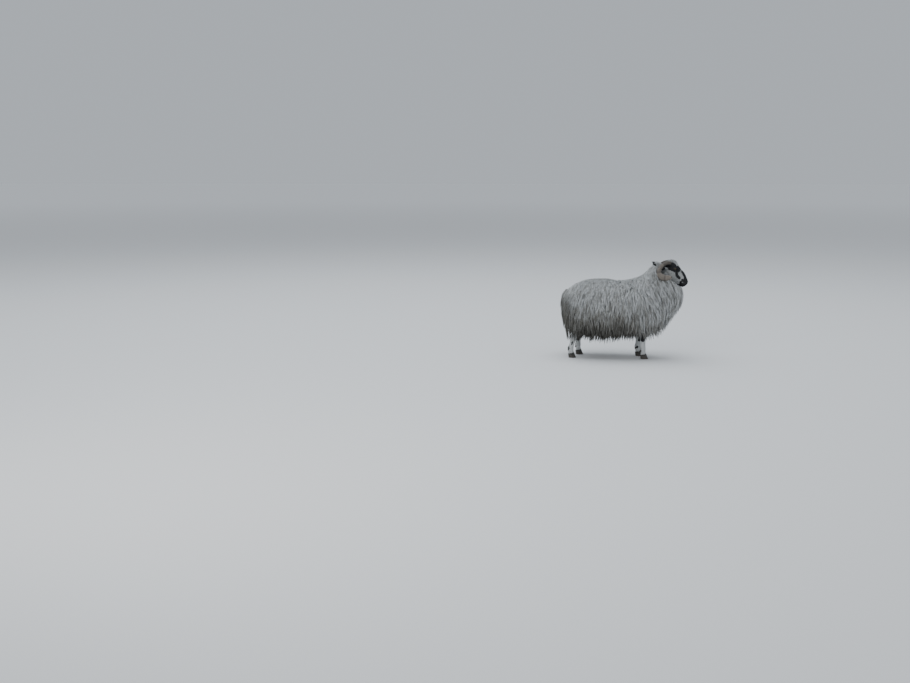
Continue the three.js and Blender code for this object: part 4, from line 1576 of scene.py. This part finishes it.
# Behind and low on the rump: partly soil, partly painted shade where the rump curves away.
rump_soil_and_shade = (1 - (forward + patchiness * 0.1).ramped(-0.46, -0.34)) * (1 - height.ramped(0.42, 0.56)) * 0.7
pale_wisps = lengthways.ramped(0.8, 1.0) * hem_mud_and_shade * tint.ramped(0.4, 0.6) * 0.6
# Painted shade: towards the roots, deep in the fleece, the wool is darker.
shade_deep_at_roots = (1 - lengthways.ramped(0.1, 0.6)) * 0.4
colour = finish.layers(
    (0.78, 0.80, 0.81),
    (tint * 0.6, (0.62, 0.615, 0.59)),
    (between_fibres, (0.36, 0.35, 0.33)),
    (streaked, (0.21, 0.20, 0.18)),
    (low_dust_and_shade, (0.23, 0.215, 0.18)),
    (hem_mud_and_shade, (0.045, 0.041, 0.033)),
    (rump_soil_and_shade, (0.10, 0.095, 0.08)),
    (pale_wisps, (0.46, 0.44, 0.40)),
    (shade_deep_at_roots, (0.26, 0.24, 0.21)),
)
finish.feed("Base Color", colour)
finish.bump(fibres, 0.0012, 0.7)
finish.put_on(*fleece)
print("fleece:", triangles_in(*fleece), "triangles")

# %% [markdown]
# ## Short hair
#
# Face, ears and lower legs wear hair of 3 to 10 millimetres that lies flat. Bump in the skin's finish gives
# most of it, but it must also break the outline, so the skin outside the fleece gets small tufts, each one
# closed spike. They lie back from the muzzle, up to the poll, out along the ears and down the legs, and they
# are smallest round the lips, the eyes and the feet.

# %% Which way short hair lies
EAR_LINE = [np.array([x, 0, z]) * MM + SHIFT for x, z, _, _ in EAR_PATH]
EAR_REACH, EARS_FROM = 26 * MM, 50 * MM  # an ear is this near its line, and this far from the middle
LEG_LIE = np.array([-0.25, 0, -1.0])


def on_ear(points):
    near = distance_to_path(points * [1, 0, 1], EAR_LINE) < EAR_REACH
    return near & (np.abs(points[:, 1]) > EARS_FROM) & (points[:, 0] < EAR_LINE[0][0])


def on_face(points):
    return points[:, 2] > FACE_FROM


def short_lie(points, normals):
    _, up, _ = head_sizes(points)
    face = BACK + UP * (0.1 - 0.5 * smooth(-up, 0, 60))[:, None]
    ear = unit(EAR_LINE[-1] - EAR_LINE[0]) + 0.15 * OUT * np.sign(points[:, 1:2])
    head_lie = np.where(on_ear(points)[:, None], ear, face)
    lie = np.where(on_face(points)[:, None], head_lie, LEG_LIE)
    return unit(lie - normals * (lie * normals).sum(axis=1, keepdims=True))


# %% How long it is, in millimetres
MUZZLE_HAIR, FOREHEAD_LONGER = 3.2, 3.6
POLL_LONGER, THROAT_LONGER, JAW_LONGER = 4, 4, 9
EYE_HAIR, EYE_HAIR_REACH, EAR_HAIR = 2.6, 21 * MM, 6.5
SHIN_HAIR, FETLOCK_LONGER, CORONET_LONGER, KNEE_LONGER = 5.5, 9, 4, 4


def from_eyes(points):
    return np.min([np.linalg.norm(points - eye, axis=1) for eye in EYES.values()], axis=0)


def short_length(points, normals):
    back, up, _ = head_sizes(points)
    poll = smooth(back, 165, 205) * smooth(up, 25, 55)
    throat = smooth(-up, 60, 95) * smooth(back, 60, 120)
    behind_jaw = smooth(back, 176, 200) * (1 - smooth(up, 10, 30))
    length = MUZZLE_HAIR + FOREHEAD_LONGER * smooth(back, 10, 110)
    length += POLL_LONGER * poll + THROAT_LONGER * throat + JAW_LONGER * behind_jaw
    length = np.where(from_eyes(points) < EYE_HAIR_REACH, EYE_HAIR, length)
    length = np.where(on_ear(points), EAR_HAIR, length)
    _, z = drawing_xz(points)
    behind_fetlock = smooth(z, 52, 66) * (1 - smooth(z, 90, 120)) * smooth(-normals[:, 0], 0.2, 0.8)
    legs = SHIN_HAIR + FETLOCK_LONGER * behind_fetlock
    legs += CORONET_LONGER * (1 - smooth(z, 42, 56)) + KNEE_LONGER * smooth(z, 120, 180)
    return np.where(on_face(points), length, legs)


# %% Where short hair grows
SHORT_TRIES = 280000
FACE_SPACING, LEG_SPACING = 1.6 * MM, 1.9 * MM
LEG_TOP, HEAD_END = 270 * MM, 325 * MM
UNDER_WOOL = -9 * MM  # skin deeper than this under the wool's outline needs no short hair
NOSTRIL_BARE, LID_BARE = 4.5 * MM, 16.6 * MM


def short_spacing(points, _):
    return np.where(on_face(points), FACE_SPACING, LEG_SPACING)


def may_grow(points):
    """Head and lower legs: most of the skin lies under wool and needs no short hair."""
    back, _, _ = head_sizes(points)
    return (points[:, 2] < LEG_TOP) | (on_face(points) & (back * MM < HEAD_END))


def bare_places(points):
    """Nostrils, and whatever lies under the lids."""
    nostril = [on_head(back, up, out) for back, up, out in FINE_STROKES[0][3]]
    mirrored = points * [1, 0, 1] + np.abs(points) * OUT
    return (from_eyes(points) < LID_BARE) | (distance_to_path(mirrored, nostril) < NOSTRIL_BARE)


hair_rng = np.random.default_rng(64)
grown, grown_normals = skin_surface.scattered(SHORT_TRIES, short_spacing, hair_rng, may_grow)
print("candidates for short hair:", len(grown))
outside = (wool_outline.height_of(grown) > UNDER_WOOL) | in_crook(grown)
keep = outside & ~bare_places(grown)
grown, grown_normals = grown[keep], grown_normals[keep]
print("tufts of short hair:", len(grown))

# %% One piece of tufts
FLAT, BENT = np.array([0, 1.0]), np.array([0, 0.45, 1.0])  # stations of short and of longer tufts
TUFT_WIDTHS = np.array([1.3, 1.15])  # millimetres
TUFT_FLATNESS = 0.5
TUFT_LIFT, CORONET_LIFT, TUFT_DROOP = 0.27, 0.16, 0.12  # how steeply they stand, and bend down again
TUFT_ROOT = 0.35 * MM


def tufts(title, points, normals, patches, stations):
    lie = short_lie(points, normals)
    lie = unit(lie + 0.15 * hair_rng.normal(size=lie.shape))
    length = short_length(points, normals) * hair_rng.uniform(0.7, 1.25, len(points)) * MM
    t = stations[None, :, None]
    coronet = 1 - smooth(points[:, 2] / MM, 42, 60)[:, None, None]
    lift = (TUFT_LIFT + CORONET_LIFT * coronet) * t - TUFT_DROOP * t**2
    centres = points[:, None] + length[:, None, None] * (lie[:, None] * t + normals[:, None] * lift)
    centres -= normals[:, None] * TUFT_ROOT
    facing = np.repeat(normals[:, None], len(stations), axis=1)
    widths = TUFT_WIDTHS[: len(stations) - 1] * hair_rng.uniform(0.7, 1.3, (len(points), 1)) * MM
    tints = hair_rng.random(len(points))
    piece = spikes(title, "face_hair", centres, facing, widths, TUFT_FLATNESS, patches, tints)
    store(piece.data, "dark", np.repeat(dark_depth(points), len(piece.data.vertices) // len(points)))
    return piece


# %% Unrolling the skin of head, ears and legs
HEAD_LENGTH, LEG_HEIGHT, EAR_SPAN = 260, 260, 60  # millimetres that the maps hold


def head_map(points, normals):
    """Skin of the head unrolled round its axis, and of each ear round its own line."""
    back, up, out = head_sizes(points)
    uv = on_chart(HEAD_CHART, back / HEAD_LENGTH, np.arctan2(out, up + 20) / (2 * math.pi) + 0.5)
    line = EAR_LINE[-1] - EAR_LINE[0]
    share = (points - EAR_LINE[0]) @ line / (line @ line)
    across = (points - EAR_LINE[0]) @ np.cross(unit(line), OUT) / (EAR_SPAN * MM)
    for side in SIDES.values():
        here = on_ear(points) & (points[:, 1] * side > 0)
        outer = np.sign(normals[:, 1] * side) * 0.25
        uv[here] = on_chart(EAR_CHARTS[side], 0.5 + outer + across * 0.4, share)[here]
    return uv


def leg_map(name, points):
    """Skin of a leg unrolled round its middle."""
    x, z = drawing_xz(points)
    angle = np.arctan2(points[:, 1] / MM - STANCE[name]["out"], x - STANCE[name]["foot"])
    return on_chart(LEG_CHARTS[name], angle / (2 * math.pi) + 0.5, z / LEG_HEIGHT)


# %% Pieces of short hair
LONG_TUFT = 7.5  # tufts longer than this many millimetres bend
LEG_SPAN = 120  # a leg's skin lies no further than this ahead of or behind its foot
CLEAR_OF_HOOF = 4
short_hair = []
for name, side in SIDES.items():
    here = on_face(grown) & (grown[:, 1] * side > 0)
    bends = short_length(grown, grown_normals) > LONG_TUFT
    for title, which, stations in (("face_hair_", here & ~bends, FLAT), ("crown_hair_", here & bends, BENT)):
        points, normals = grown[which], grown_normals[which]
        short_hair.append(tufts(title + name, points, normals, head_map(points, normals), stations))
for name, stance in STANCE.items():
    x, z = drawing_xz(grown)
    ahead = x - stance["foot"]
    here = ~on_face(grown) & (grown[:, 1] * stance["side"] > 0)
    here &= (np.abs(ahead) < LEG_SPAN) & (z - CORONET_TILT * ahead > CORONET + CLEAR_OF_HOOF)
    points, normals = grown[here], grown_normals[here]
    short_hair.append(tufts("leg_hair_" + name, points, normals, leg_map(name, points), FLAT))

# %% Tufts: the skin's colours, with some hairs darker than others
finish = Finish("short hair in tufts", Roughness=0.7, Specular_IOR_Level=0.3)
colour, _ = hair_colour(finish)
shade = finish.attribute("tint") * (0.1 + finish.part(2).ramped(0.3, 0.5) * 0.2)
finish.feed("Base Color", finish.mix(shade, colour, (0.05, 0.05, 0.05)))
finish.put_on(*short_hair)
print("short hair:", triangles_in(*short_hair), "triangles")
discard(outline)

# %% [markdown]
# ## Floor, light and camera
#
# The ewe stands on a plain pale floor in soft studio light: a wide panel overhead, as an overcast sky gives,
# and a weaker one behind the camera. The camera stands where a person would, on her right and a little
# behind, looking slightly down at her.

# %% Floor
FLOOR_SIZE = 400.0
floor_shape = bmesh.new()
bmesh.ops.create_grid(floor_shape, x_segments=1, y_segments=1, size=FLOOR_SIZE / 2)
floor = make_object("floor", floor_shape)
ROOM_LIGHT = np.array([0.80, 0.86, 0.93]) * 0.6
FLOOR_PALENESS = 0.84
FLOOR_COLOUR = (FLOOR_PALENESS, FLOOR_PALENESS, FLOOR_PALENESS, 1.0)
finish = Finish("pale floor", Roughness=0.9, Base_Color=FLOOR_COLOUR, Emission_Strength=1.0)
away = finish.node("VectorMath", dict(operation="LENGTH"), finish.object, output=0)
missing = ROOM_LIGHT * (1 - FLOOR_PALENESS)  # what a floor this pale swallows of the room's light
finish.feed("Emission Color", finish.mix(away.ramped(10, 60), (0, 0, 0), missing))
finish.put_on(floor)

# %% Lights
AIM = Vector((0, 0, 0.4))  # the middle of the ewe


def panel(name, place, size, watts, colour):
    """A soft square light that faces the ewe."""
    light = bpy.data.lights.new(name, "AREA")
    light.size, light.energy, light.color = size, watts, colour
    lamp = bpy.data.objects.new(name, light)
    bpy.context.collection.objects.link(lamp)
    lamp.location = place
    lamp.rotation_euler = (AIM - Vector(place)).to_track_quat("-Z", "Y").to_euler()


panel("overhead", (-2.0, 1.0, 9.4), 12.0, 760, (0.89, 0.95, 1.0))
panel("from the camera side", (-2.5, -5.0, 3.0), 3.0, 60, (1.0, 0.98, 0.95))
world = bpy.data.worlds.new("soft room")
bpy.context.scene.world = world
world.use_nodes = True
world.node_tree.nodes["Background"].inputs["Color"].default_value = (*ROOM_LIGHT, 1.0)

# %% Camera
SENSOR_WIDTH = 36.0
FOCAL_LENGTH = 43.516
CAMERA_PLACE = (0.00604, -8.86768, 1.44375)
CAMERA_DOWN, CAMERA_LEFT = math.radians(8.556), math.radians(8.785)
lens = bpy.data.cameras.new("camera")
lens.sensor_width, lens.lens = SENSOR_WIDTH, FOCAL_LENGTH
camera = bpy.data.objects.new("camera", lens)
bpy.context.collection.objects.link(camera)
camera.location = CAMERA_PLACE
camera.rotation_euler = (math.pi / 2 - CAMERA_DOWN, 0, CAMERA_LEFT)
bpy.context.scene.camera = camera
